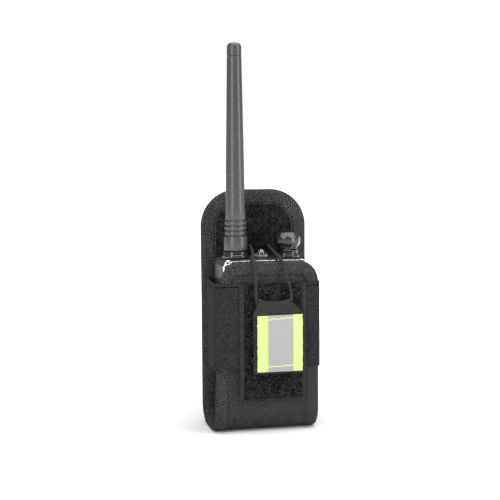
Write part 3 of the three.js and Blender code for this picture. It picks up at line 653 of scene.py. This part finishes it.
def tab_point(i, j, depth, columns=60, flat_rows=70, round_rows=14):
    u = j / (columns - 1)
    rise = (2.6 * abs(2 * u - 1) ** 3 - 0.4) * MM
    if i < flat_rows:
        z = tab_low.z + (fold_height - tab_low.z) * i / (flat_rows - 1)
        angle = 0
    else:
        angle = math.pi * 1.15 * (i - flat_rows + 1) / round_rows
        z = fold_height
    left, right = tab_edges(z)
    x = left + (right - left) * u
    near = min(max((z - shoulder) / (fold_height - shoulder), 0), 1)
    crumple = 0.35 * near * math.sin(u * 21 + z / MM * 0.3) * noise.noise(Vector((x * 150, z * 200, 3)))
    bulge = (fold_radius - 0.6 * MM) * near ** 2
    reach = fold_radius - depth
    y = tab_middle - bulge - tab_thick / 2 + depth
    if angle:
        y = tab_middle - reach * math.cos(angle)
        z = z + reach * math.sin(angle)
    y -= crumple * MM
    z += rise * near
    return Vector((x, y, z)), (x, z + angle * fold_radius)


webbing = slab("pull_tab_webbing", 84, 60, tab_point, tab_thick * 0.8)


def web_paint(wire, place, cloth):
    """Wide webbing with a herringbone: slanting ribs in columns across the width."""
    x, z = wire.part(cloth), wire.part(cloth, 1)
    zigzag = abs((x * 115) % 1.0 - 0.5) * 0.011
    wander = wire.noise(cloth, 240, 2.0) * 2.0
    rib = ((z + zigzag) * 3000 + wander).sine() * 0.5 + 0.5
    yarn = wire.noise(place, 900, 2.0, 0.85)
    tone = rib * 0.75 + yarn * 1.6 - 0.82
    colour = wire.blend(tone, (0.0015, 0.0012, 0.0015), (0.088, 0.085, 0.088))
    return colour, 0.85, rib * 0.7 + yarn * 0.3, 0.0004


web_finish = material("wide_webbing", web_paint, **cloth_look)
dress(webbing, web_finish)
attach(webbing, "tab")
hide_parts("pull_tab")

hook_low, hook_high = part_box("tab_hook_patch")


def hook_paint(wire, place, cloth):
    dots = wire.node("TexVoronoi", {"Vector": place, "Scale": 900.0})
    return wire.blend(dots, (0.02, 0.02, 0.022), (0.005, 0.005, 0.006)), 0.6, 1 - dots, 0.0004


def hook_point(i, j, depth):
    x = hook_low.x + (hook_high.x - hook_low.x) * j / 39
    z = hook_low.z + (hook_high.z - hook_low.z) * i / 47
    stub = 0.18 * MM * (abs(noise.noise(Vector((x, 0, z)) * 1500))) if depth else 0
    return Vector((x, hook_low.y + depth + stub, z)), (x, z)


hooks = slab("tab_hook_tape", 48, 40, hook_point, 0.8 * MM)
dress(hooks, material("hook_tape", hook_paint, Specular_IOR_Level=0.3))
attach(hooks, "tab")
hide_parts("tab_hook_patch")

# ---------------------------------------------------------------- reflector
# A square of fluorescent lime cloth with raw side edges, and a silver glass-bead stripe sewn down
# its middle with lime thread.

lime_low, lime_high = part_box("reflective_patch")
silver_low, silver_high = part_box("reflective_stripe")


def tape_sheet(name, low, high, ragged, front, thick, rows=90, columns=60):
    def point(i, j, depth):
        u, v = j / (columns - 1), i / (rows - 1)
        z = low.z + (high.z - low.z) * v
        side = abs(2 * u - 1) ** 6
        coarse, fine = noise.noise(Vector((z * 420, u * 2, 0))), noise.noise(Vector((z * 1400, u, 2)))
        fray = ragged * MM * side * (coarse + 0.5 * fine)
        x = low.x + (high.x - low.x) * u + fray
        sway = 0.22 * MM * noise.noise(Vector((x * 55, z * 40, 9)))
        ends = -0.25 * MM * math.exp(-(min(v, 1 - v) / 0.012) ** 2)
        y = front + depth + sway - (ends if depth == 0 else 0)
        tilt_up = 0.5 * MM * (u - 0.3) * (1 if v > 0.5 else 0) * (2 * v - 1)
        return Vector((x, y, z + tilt_up)), (x, z)

    return slab(name, rows, columns, point, thick)


def lime_paint(wire, place, cloth):
    x, z = wire.part(cloth), wire.part(cloth, 1)
    weave = ((x * 8800).sine() * 0.5 + 0.5) * 0.5 + ((z * 8800).sine() * 0.5 + 0.5) * 0.5
    tone = wire.noise(place, 130, 4.0) * 0.8 + weave * 0.2
    return wire.blend(tone, (0.46, 0.62, 0.17), (0.56, 0.72, 0.27)), 0.7, weave, 0.00005


def silver_paint(wire, place, cloth):
    beads = wire.node("TexVoronoi", {"Vector": place, "Scale": 3500.0})
    cloudy = wire.noise(place, 60, 3.0)
    return wire.blend(cloudy, (0.3, 0.3, 0.297), (0.35, 0.35, 0.347)), 0.5, beads, 0.00002


lime_front = lime_high.y - 0.75 * MM
lime = tape_sheet("lime_patch", lime_low, lime_high, 0.45, lime_front, 0.5 * MM)
dress(lime, material("lime_cloth", lime_paint, Specular_IOR_Level=0.2))
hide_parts("reflective_patch")
silver = tape_sheet("silver_stripe", silver_low, silver_high, 0.12, lime_front - 0.3 * MM, 0.22 * MM)
dress(silver, material("silver_bead_film", silver_paint, Metallic=0.25))
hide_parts("reflective_stripe")


def thread_paint(wire, place, cloth):
    ply = (wire.part(cloth) * 9000).sine() * 0.5 + 0.5
    return wire.blend(ply, (0.62, 0.8, 0.22), (0.9, 0.98, 0.5)), 0.6, ply, 0.00005


thread_finish = material("lime_thread", thread_paint)
random.seed(4)
for name, height in (("stitch_top", 76.6), ("stitch_bottom", 45.4)):
    line = []
    x = silver_low.x - 0.4 * MM
    count = 0
    while x < silver_high.x + 0.4 * MM:
        over = 0.22 * MM if count % 4 < 2 else -0.05 * MM
        wiggle = (random.random() - 0.5) * 0.9
        slant = 0.8 * (x - silver_low.x) / (18 * MM)
        line.append(Vector((x, lime_front - 0.33 * MM - over, (height + wiggle + slant) * MM)))
        x += 0.55 * MM
        count += 1
    row = swept(name, smooth_path(line, 0.25 * MM), 8, 0.19 * MM)
    dress(row, thread_finish)
    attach(row, "tab")
for piece in (lime, silver):
    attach(piece, "tab")

# ---------------------------------------------------------------- belt loop
# Wide webbing sewn flat to the back panel at its two ends and standing off between them, so that a
# belt passes behind it.

strap_low, strap_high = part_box("belt_loop")
strap_thick = 1.5 * MM
sewn = 8.6 * MM


def strap_line():
    """The strap's middle line from its lower sewn end to its upper one: depth and height."""
    near, far = strap_low.y + 0.9 * MM, strap_high.y - 0.9 * MM
    low, high = strap_low.z, strap_high.z
    lower_half = [                # depth, and height above the lower end
        (near, 0), (near, sewn * 0.5), (near, sewn * 0.85), (near + 1.6 * MM, sewn + 1.2 * MM),
        (far - 1.6 * MM, sewn + 3.8 * MM), (far - 0.2 * MM, sewn + 8 * MM), (far, 24 * MM),
    ]
    rising = [Vector((0, y, low + from_end)) for y, from_end in lower_half]
    topping = [Vector((0, y, high - from_end)) for y, from_end in reversed(lower_half)]
    return smooth_path([*rising, Vector((0, far, (low + high) / 2)), *topping], 0.8 * MM)


strap_path = strap_line()


def strap_point(i, j, depth):
    here = strap_path[i]
    ahead = (strap_path[min(i + 1, len(strap_path) - 1)] - strap_path[max(i - 1, 0)]).normalized()
    outward = Vector((0, ahead.z, -ahead.y))
    u = j / 39
    selvedge = 0.3 * MM * max(0, 1 - min(u, 1 - u) * 26)
    x = strap_low.x + (strap_high.x - strap_low.x) * u
    shift = strap_thick / 2 - depth - (selvedge if depth == 0 else -selvedge)
    place = here + outward * shift
    waver = 0.2 * MM * noise.noise(Vector((here.z * 60, u, 4)))
    return Vector((x + waver, place.y, place.z)), (x, i * 0.8 * MM)


strap = slab("belt_strap", len(strap_path), 40, strap_point, strap_thick)


def strap_paint(wire, place, cloth):
    colour, rough, weave, depth = web_paint(wire, place, cloth)
    x = wire.part(place)
    z = wire.part(place, 2)
    from_middle = abs(z - (strap_low.z + strap_high.z) / 2)
    end = (strap_high.z - strap_low.z) / 2
    outer_row = abs(from_middle - (end - 1.8 * MM)) < 0.5 * MM
    inner_row = abs(from_middle - (end - 7.2 * MM)) < 0.5 * MM
    tack = outer_row + inner_row
    dash = (x % 0.0026) > 0.0006
    return wire.blend(tack * dash * 0.7, colour, (0.045, 0.044, 0.046)), rough, weave + tack * 0.8, 0.0003


dress(strap, material("belt_webbing", strap_paint, **cloth_look))
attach(strap, "holster")
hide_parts("belt_loop")

# ---------------------------------------------------------------- radio cases
# The front half and the battery are moulded plastic with a fine spark grain, and the chassis between
# them is a painted die casting. They meet at thin seams.


def moulded(wire, place, cloth):
    grain = wire.noise(place, 2600, 2.0, 0.7)
    handled = wire.noise(place, 38, 4.0)
    colour = wire.blend(grain * 0.35 + handled * 0.65, (0.024, 0.0225, 0.024), (0.043, 0.041, 0.043))
    return colour, handled * 0.2 + 0.36, grain, 0.00004


def cast_paint(wire, place, cloth):
    grain = wire.noise(place, 1900, 3.0, 0.6)
    handled = wire.noise(place, 45, 4.0)
    colour = wire.blend(grain * 0.4 + handled * 0.6, (0.03, 0.03, 0.032), (0.06, 0.059, 0.062))
    return colour, 0.45, grain, 0.00006


case_finish = material("moulded_case", moulded, Specular_IOR_Level=0.5)
chassis_finish = material("painted_casting", cast_paint, Specular_IOR_Level=0.5)
for node in ("front_case", "top_panel", "battery_tray", "battery_cover", "battery_latch"):
    dress(bpy.data.objects[node], case_finish)
dress(bpy.data.objects["rear_chassis"], chassis_finish)



def bevel_edges(piece, width, segments, angle=30):
    """Rounds the edges of the active object that turn by more than an angle in degrees."""
    rounding = piece.modifiers.new("edges", "BEVEL")
    rounding.width, rounding.segments = width, segments
    rounding.angle_limit = math.radians(angle)
    bpy.ops.object.modifier_apply(modifier="edges")


# A rubber seal is squeezed between the front case and the chassis, just inside the seam.
seal_front, seal_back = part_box("front_case")[1].y - 1.2 * MM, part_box("front_case")[1].y + 1.4 * MM
seal_low, seal_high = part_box("front_case")
bpy.ops.object.select_all(action="DESELECT")
bpy.ops.mesh.primitive_plane_add(size=1, location=(0, 0, 0))
seal = bpy.context.object
seal.name = "case_seal"
seal.rotation_euler.x = math.pi / 2
seal.scale = (seal_high.x - seal_low.x - 1.4 * MM, seal_high.z - seal_low.z - 3.2 * MM, 1)
seal.location = (0, seal_back, (seal_low.z + seal_high.z) / 2)
bpy.ops.object.transform_apply(location=True, rotation=True, scale=True)
bpy.ops.object.mode_set(mode="EDIT")
bpy.ops.mesh.select_all(action="SELECT")
bpy.ops.mesh.inset(thickness=1.0 * MM, depth=0)
bpy.ops.mesh.delete(type="FACE")
bpy.ops.mesh.select_all(action="SELECT")
bpy.ops.mesh.extrude_region_move(TRANSFORM_OT_translate={"value": (0, seal_front - seal_back, 0)})
bpy.ops.mesh.select_all(action="SELECT")
bpy.ops.mesh.normals_make_consistent(inside=False)
bpy.ops.object.mode_set(mode="OBJECT")
bevel_edges(seal, 0.3 * MM, 2)
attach(seal, "radio")

# ---------------------------------------------------------------- keys and covers
# Rubber keys stand in the front case and on its left side, and a rubber flap covers the sockets.


def rubbery(wire, place, cloth):
    grain = wire.noise(place, 2200, 2.0)
    dusty = wire.noise(place, 120, 4.0)
    return wire.blend(dusty, (0.02, 0.02, 0.021), (0.05, 0.05, 0.052)), dusty * 0.2 + 0.6, grain, 0.00005


rubber_finish = material("key_rubber", rubbery, Specular_IOR_Level=0.3)
dress(seal, rubber_finish)
for node in [f"key_{number:02d}" for number in range(1, 17)] + ["keypad_membrane", "speaker"]:
    dress(bpy.data.objects[node], rubber_finish)


def rounded_block(place, extent, rounding):
    bpy.ops.object.select_all(action="DESELECT")
    bpy.ops.mesh.primitive_cube_add(size=1, location=place)
    block = bpy.context.object
    block.scale = extent
    bpy.ops.object.transform_apply(location=True, rotation=False, scale=True)
    bevel_edges(block, rounding * MM, 4)
    return block


# Each side key is a soft block with ridges for the finger, and the flap over the sockets has a lip.
for name, node, body, ridges in (
    ("talk_key", "ptt_button", "ptt", (0.3, 0.4, 0.5, 0.6, 0.7)),
    ("call_key", "call_button", "call", (0.35, 0.65)),
    ("monitor_key", "monitor_button", "monitor", (0.5,)),
    ("socket_flap", "jack_cover", "radio", (0.08, 0.9)),
):
    low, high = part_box(node)
    centre, extent = (low + high) / 2, high - low
    outer = high.x if centre.x > 0 else low.x
    blocks = [rounded_block(centre, extent, 0.7)]
    for share in ridges:
        ridge = Vector((outer, centre.y, low.z + share * extent.z))
        blocks.append(rounded_block(ridge, (0.7 * MM, extent.y * 0.62, 1.0 * MM), 0.3))
    for block in blocks:
        block.select_set(True)
    bpy.context.view_layer.objects.active = blocks[0]
    bpy.ops.object.join()
    key = bpy.context.object
    key.name = name
    bpy.ops.object.shade_smooth_by_angle(angle=math.radians(40))
    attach(key, body)
    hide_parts(node)
    dress(key, rubber_finish)

# ---------------------------------------------------------------- window, boards and metal inside
# A clear window over the display, green boards with copper tracks, tinned cans and brass contacts.


def window_paint(wire, place, cloth):
    x = wire.part(place)
    tint = wire.noise(place, 60, 2.0)
    edge = abs(x) > 0.0182
    glass = wire.blend(tint, (0.03, 0.035, 0.03), (0.05, 0.058, 0.048))
    return wire.blend(edge, glass, (0.01, 0.01, 0.01)), 0.08, None, 0


def board_paint(wire, place, cloth):
    x, z = wire.part(place), wire.part(place, 2)
    track = abs((x * 3000).sine() * 0.5 + (z * 2200 + (x * 700).sine() * 3).sine() * 0.5) < 0.12
    return wire.blend(track, (0.01, 0.07, 0.03), (0.05, 0.16, 0.07)), 0.45, track, 0.00005


def tinned(wire, place, cloth):
    smear = wire.noise(place, 300, 4.0)
    return wire.blend(smear, (0.45, 0.45, 0.46), (0.65, 0.65, 0.66)), smear * 0.2 + 0.3, smear, 0.00003


def brassy(wire, place, cloth):
    smear = wire.noise(place, 400, 4.0)
    return wire.blend(smear, (0.5, 0.33, 0.12), (0.72, 0.52, 0.24)), smear * 0.2 + 0.22, smear, 0.00002


def wrapped(wire, place, cloth):
    crinkle = wire.noise(place, 160, 3.0)
    return wire.blend(crinkle, (0.02, 0.09, 0.24), (0.04, 0.14, 0.34)), 0.3, crinkle, 0.0003


window_finish = material("display_window", window_paint, Coat_Weight=0.6, Coat_Roughness=0.04)
board_finish = material("green_board", board_paint)
tin_finish = material("tinned_steel", tinned, Metallic=1.0)
brass_finish = material("brass", brassy, Metallic=1.0)
for finish, nodes in (
    (window_finish, ["display_window"]),
    (board_finish, ["main_board", "display_module"]),
    (tin_finish, ["rf_shield", "microphone", "volume_switch", "volume_shaft"]),
    (tin_finish, ["case_screw_left", "case_screw_right"]),
    (brass_finish, ["antenna_connector", "battery_contact"]),
    (material("shrink_wrap", wrapped), ["battery_cell"]),
):
    for node in nodes:
        dress(bpy.data.objects[node], finish)

# ---------------------------------------------------------------- bright trim
# A plated bar runs along the front case's top edge. Near each end a separate bar comes up the side
# of the face and curls over into a ring.

case_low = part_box("front_case")[0]
deck_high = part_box("top_panel")[1]
trim_y = case_low.y + 0.45 * MM


def plated(wire, place, cloth):
    haze = wire.noise(place, 240, 3.0)
    low = wire.part(place, 2)
    shade = wire.noise(place, 900, 2.0)
    bronze = (shade > 0.56) * (low > 0.1105)
    return wire.blend(bronze * 0.7, (0.7, 0.69, 0.68), (0.22, 0.14, 0.1)), haze * 0.1 + 0.1, None, 0


def curl_path(side):
    centre = Vector((side * 24.9 * MM, trim_y, deck_high.z - 2.1 * MM))
    points = [Vector((side * 27.2 * MM, trim_y, deck_high.z - drop * MM)) for drop in (11.5, 9, 7, 5, 3.6)]
    for step in range(13):
        angle = math.radians(180 - 285 * step / 12)
        reach = (1.95 - 0.75 * step / 12) * MM
        points.append(centre + Vector((side * math.cos(angle) * reach, 0, math.sin(angle) * reach)))
    return smooth_path(points, 0.3 * MM)


edge_drops = [           # place across the deck, and how far below it
    (-22.6, 0.95), (-18, 0.7), (-8, 0.62), (0, 0.6), (8, 0.62), (18, 0.7),
    (23.5, 0.85), (26.2, 1.5), (27.6, 2.9),
]
edge_line = [Vector((x * MM, trim_y + 0.5 * MM, deck_high.z - drop * MM)) for x, drop in edge_drops]
chrome_finish = material("plated_trim", plated, Metallic=1.0)
for name, path, radius in (
    ("trim_edge", smooth_path(edge_line, 0.6 * MM), 0.3 * MM),
    ("trim_left", curl_path(-1), 0.9 * MM),
    ("trim_right", curl_path(1), 0.55 * MM),
):
    bar = swept(name, path, 12, radius)
    dress(bar, chrome_finish)
    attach(bar, "radio")
    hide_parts("chrome_trim")

# ---------------------------------------------------------------- antenna
# A rubber whip moulded over a spring, with a thick foot and four finger grooves. It narrows twice on
# the way up to a separate moulded cap, and screws into a seat on the deck.


def turned_piece(name, centre, start, profile, sides, bevel):
    """A disc drawn up through a list of (radius, height), as on a lathe, closed at both ends."""
    bpy.ops.object.select_all(action="DESELECT")
    bpy.ops.mesh.primitive_circle_add(
        vertices=sides, radius=profile[0][0] * MM, fill_type="NGON",
        location=(centre.x, centre.y, start + profile[0][1] * MM))
    piece = bpy.context.object
    piece.name = name
    bpy.ops.object.transform_apply(location=True, rotation=False, scale=False)
    bpy.ops.object.mode_set(mode="EDIT")
    bpy.ops.mesh.select_all(action="SELECT")
    for (wide, low), (narrow, high) in zip(profile, profile[1:]):
        bpy.ops.mesh.extrude_region_move(TRANSFORM_OT_translate={"value": (0, 0, (high - low) * MM)})
        ratio = narrow / wide
        axis = (centre.x, centre.y, start + high * MM)
        bpy.ops.transform.resize(value=(ratio, ratio, 1), center_override=axis)
    bpy.ops.mesh.select_all(action="SELECT")
    bpy.ops.mesh.normals_make_consistent(inside=False)
    bpy.ops.object.mode_set(mode="OBJECT")
    if bevel:
        bevel_edges(piece, bevel * MM, 3, angle=35)
    bpy.ops.object.shade_smooth_by_angle(angle=math.radians(40))
    return piece


def middle(node):
    low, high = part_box(node)
    return (low + high) / 2


def whip_rubber(wire, place, cloth):
    skin = wire.noise(place, 1500, 3.0, 0.6)
    rubbed = wire.noise(place, 60, 4.0)
    colour = wire.blend(rubbed * 0.6 + skin * 0.4, (0.034, 0.0315, 0.034), (0.05, 0.046, 0.05))
    return colour, rubbed * 0.08 + 0.26, skin, 0.00005


whip_finish = material("antenna_rubber", whip_rubber, Specular_IOR_Level=0.55)
whip_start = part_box("antenna_whip")[0].z
whip_rise = (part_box("antenna_whip")[1].z - whip_start) / MM
whip_profile = [(7.4, 0), (7.9, 0.5), (7.9, 9.8)]
for groove in range(4):
    at = 9.8 + groove * 3.35
    above = 7.3 if groove < 3 else 6.95
    whip_profile += [(6.0, at + 0.01), (6.0, at + 1.0), (above, at + 1.01)]
    if groove < 3:
        whip_profile.append((7.3, at + 3.35))
whip_profile += [(6.5, 30), (6.35, 40.1), (5.55, 85), (4.85, whip_rise)]
whip = turned_piece("antenna_body", middle("antenna_whip"), whip_start, whip_profile, 48, 0.18)
cap_rise = (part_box("antenna_cap")[1].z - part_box("antenna_cap")[0].z) / MM
cap_profile = [(4.35, -0.4), (4.35, 0), (4.85, 0.25), (4.8, cap_rise - 3), (4.55, cap_rise - 1.7)]
cap_profile += [(3.9, cap_rise - 0.8), (2.7, cap_rise - 0.25), (1.0, cap_rise)]
cap = turned_piece("antenna_top_cap", middle("antenna_cap"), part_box("antenna_cap")[0].z, cap_profile, 48, 0)
for piece, node in ((whip, "antenna_whip"), (cap, "antenna_cap")):
    dress(piece, whip_finish)
    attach(piece, "antenna")
    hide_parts(node)


def gloss_plastic(wire, place, cloth):
    smudge = wire.noise(place, 90, 4.0)
    return wire.blend(smudge, (0.008, 0.0078, 0.008), (0.015, 0.0145, 0.015)), smudge * 0.15 + 0.14, None, 0


gloss_finish = material("gloss_plastic", gloss_plastic, Specular_IOR_Level=0.6)
foot_profile = [(9.0, 0), (9.1, 0.4), (9.1, 2.0), (8.6, 2.5), (8.45, 4.5)]
knob_foot_profile = [(8.1, 0), (8.1, 1.3), (7.2, 1.7), (6.9, 3.6), (7.5, 4.1), (7.5, 4.9)]
for name, node, profile in (
    ("antenna_foot", "antenna_seat", foot_profile),
    ("knob_foot", "volume_seat", knob_foot_profile),
):
    collar = turned_piece(name, middle(node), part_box(node)[0].z, profile, 48, 0.25)
    dress(collar, gloss_finish)
    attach(collar, "radio")
    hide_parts(node)

# ---------------------------------------------------------------- volume knob
# Moulded with ten flats. The slope at its top is cut between the flats, so each flat ends in a point.


def knob_mesh(flats):
    centre, low = middle("volume_knob"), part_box("volume_knob")[0].z
    high = (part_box("volume_knob")[1].z - low) / MM
    rings = [
        (5.4, 0.1, 0), (6.9, 0.1, 0), (7.3, 0.9, 0), (6.9, 1.2, 0), (6.9, 1.8, 0),
        (7.9, 2.0, 0), (9.0, 4.4, 0), (9.0, high - 4.6, 0),
        (9.0 * math.cos(math.pi / flats), high - 2.5, 1), (6.4, high - 0.2, 1), (5.6, high, 1),
    ]
    flat_foot, flat_top, slope_foot = 6, 7, 8       # the rings between which the pointed flats lie
    vertices, faces = [], []
    for radius, rise, turn in rings:
        for k in range(flats):
            angle = 2 * math.pi * (k + 0.5 * turn) / flats + math.radians(-82)
            x, y = radius * MM * math.cos(angle), radius * MM * math.sin(angle)
            vertices.append((centre.x + x, centre.y + y, low + rise * MM))
    for level in range(len(rings) - 1):
        for k in range(flats):
            a, b = level * flats + k, level * flats + (k + 1) % flats
            c, d = b + flats, a + flats
            if level == flat_foot:
                faces.append((a, b, c, (flat_top + 1) * flats + k, d))
            elif level == slope_foot:
                corner = flat_top * flats + (k + 1) % flats
                faces.append((a, corner, b, c, d))
            elif level != flat_top:
                faces.append((a, b, c, d))
    faces.append(tuple(reversed(range(flats))))
    faces.append(tuple(range((len(rings) - 1) * flats, len(rings) * flats)))
    return vertices, faces


knob_vertices, knob_faces = knob_mesh(10)
knob = mesh_piece("volume_grip", knob_vertices, knob_faces, smooth=False)
turn_faces_out()
bevel_edges(knob, 0.22 * MM, 2, angle=14)
bpy.ops.object.shade_smooth_by_angle(angle=math.radians(12))
dress(knob, gloss_finish)
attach(knob, "knob")
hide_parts("volume_knob")

# ---------------------------------------------------------------- torch
# A small lamp in the deck: a clear dome over a faceted reflector, held by a ring of bright studs.


def dome_paint(wire, place, cloth):
    cells = wire.node("TexVoronoi", {"Vector": place, "Scale": 850.0})
    # Painted highlights: small white cells in the base colour stand in for glints off the reflector's facets.
    painted_glint = cells < 0.2
    return wire.blend(painted_glint, (0.02, 0.02, 0.022), (0.85, 0.85, 0.88)), 0.12, None, 0


lens_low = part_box("torch_lens")[0]
dome_profile = [
    (3.6, 0), (3.7, 2.0), (3.6, 2.8), (3.3, 3.6), (2.75, 4.4), (2.0, 5.1), (1.1, 5.6), (0.35, 5.8),
]
dome = turned_piece("torch_dome", middle("torch_lens"), lens_low.z, dome_profile, 40, 0)
dress(dome, material("torch_reflector_painted_glints", dome_paint, Coat_Weight=1.0, Coat_Roughness=0.03))
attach(dome, "radio")
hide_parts("torch_lens")
collar_profile = [(4.3, 0), (4.9, 0.05), (4.9, 0.5), (4.5, 0.75)]
ring_centre = middle("torch_bezel")
collar = turned_piece("torch_ring", ring_centre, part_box("torch_bezel")[0].z, collar_profile, 40, 0.1)
dress(collar, gloss_finish)
bpy.ops.object.select_all(action="DESELECT")
studs = []
stud_count = 22
for number in range(stud_count):
    angle = 2 * math.pi * number / stud_count
    x, y = 4.15 * MM * math.cos(angle), 4.15 * MM * math.sin(angle)
    stud_place = (ring_centre.x + x, ring_centre.y + y, lens_low.z + 1.25 * MM)
    bpy.ops.mesh.primitive_cube_add(size=1, location=stud_place)
    stud = bpy.context.object
    stud.scale = (0.55 * MM, 0.55 * MM, 1.7 * MM)
    stud.rotation_euler.z = angle
    studs.append(stud)
for stud in studs:
    stud.select_set(True)
bpy.ops.object.join()
bpy.ops.object.transform_apply(location=True, rotation=True, scale=True)
studs = bpy.context.object
studs.name = "torch_studs"
bevel_edges(studs, 0.12 * MM, 2)
dress(studs, tin_finish)
for piece in (collar, studs):
    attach(piece, "radio")
    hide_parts("torch_bezel")
dress(bpy.data.objects["torch_led"], tin_finish)

# ---------------------------------------------------------------- studio
# A white sweep under a white sky, with a large soft light on each side of the camera.

bpy.ops.mesh.primitive_plane_add(size=60, location=(0, 0, -0.0002))
floor = bpy.context.object
floor.name = "floor"


def floor_paint(wire, place, cloth):
    return (0.82, 0.82, 0.82), 0.9, None, 0


sweep_finish = material("white_floor_painted_glow", floor_paint, Specular_IOR_Level=0.0, Emission_Strength=1.0)
# Painted light: the floor glows more the further it is from the holster, so the far floor is as white as the sky
# and the floor round the holster stays darker, as painted shade.
sweep = Wire(sweep_finish.node_tree)
away = sweep.node("VectorMath", {0: sweep.node("TexCoord", out="Object")}, out="Value", operation="LENGTH")
painted_floor_glow = sweep.blend(away * 2.2 - 0.35, (0, 0, 0), (1, 1, 1))
sweep.tree.links.new(painted_floor_glow.socket, sweep.tree.nodes["Principled BSDF"].inputs["Emission Color"])
dress(floor, sweep_finish)

world = bpy.data.worlds.new("studio")
bpy.context.scene.world = world
world.use_nodes = True
sky = Wire(world.node_tree)
seen = sky.node("LightPath")
strength = seen * 0.66 + 0.38
sky.tree.links.new(strength.socket, sky.tree.nodes["Background"].inputs["Strength"])
sky.tree.nodes["Background"].inputs["Color"].default_value = (1, 1, 1, 1)
for name, place, size, power in (
    ("left_softbox", (-0.8, -0.75, 0.55), (0.28, 1.1), 7),
    ("right_softbox", (0.85, -0.6, 0.5), (0.28, 1.1), 7),
    ("top_softbox", (0.1, -0.2, 1.5), (1.6, 1.6), 30),
):
    bpy.ops.object.light_add(type="AREA", location=place)
    lamp = bpy.context.object
    lamp.name = name
    lamp.data.shape = "RECTANGLE"
    lamp.data.size, lamp.data.size_y = size
    lamp.data.energy = power
    lamp.rotation_euler = (Vector((0, 0, 0.12)) - Vector(place)).to_track_quat("-Z", "Y").to_euler()
bpy.context.scene.view_settings.view_transform = "Standard"

# The cloth pieces, each with the size it was cut to.
strap_length = sum((q - p).length for p, q in zip(strap_path, strap_path[1:]))
for side, band in elastic_bands.items():
    line = elastic_plan(side)
    around = sum((q - p).length for p, q in zip(line, line[1:]))
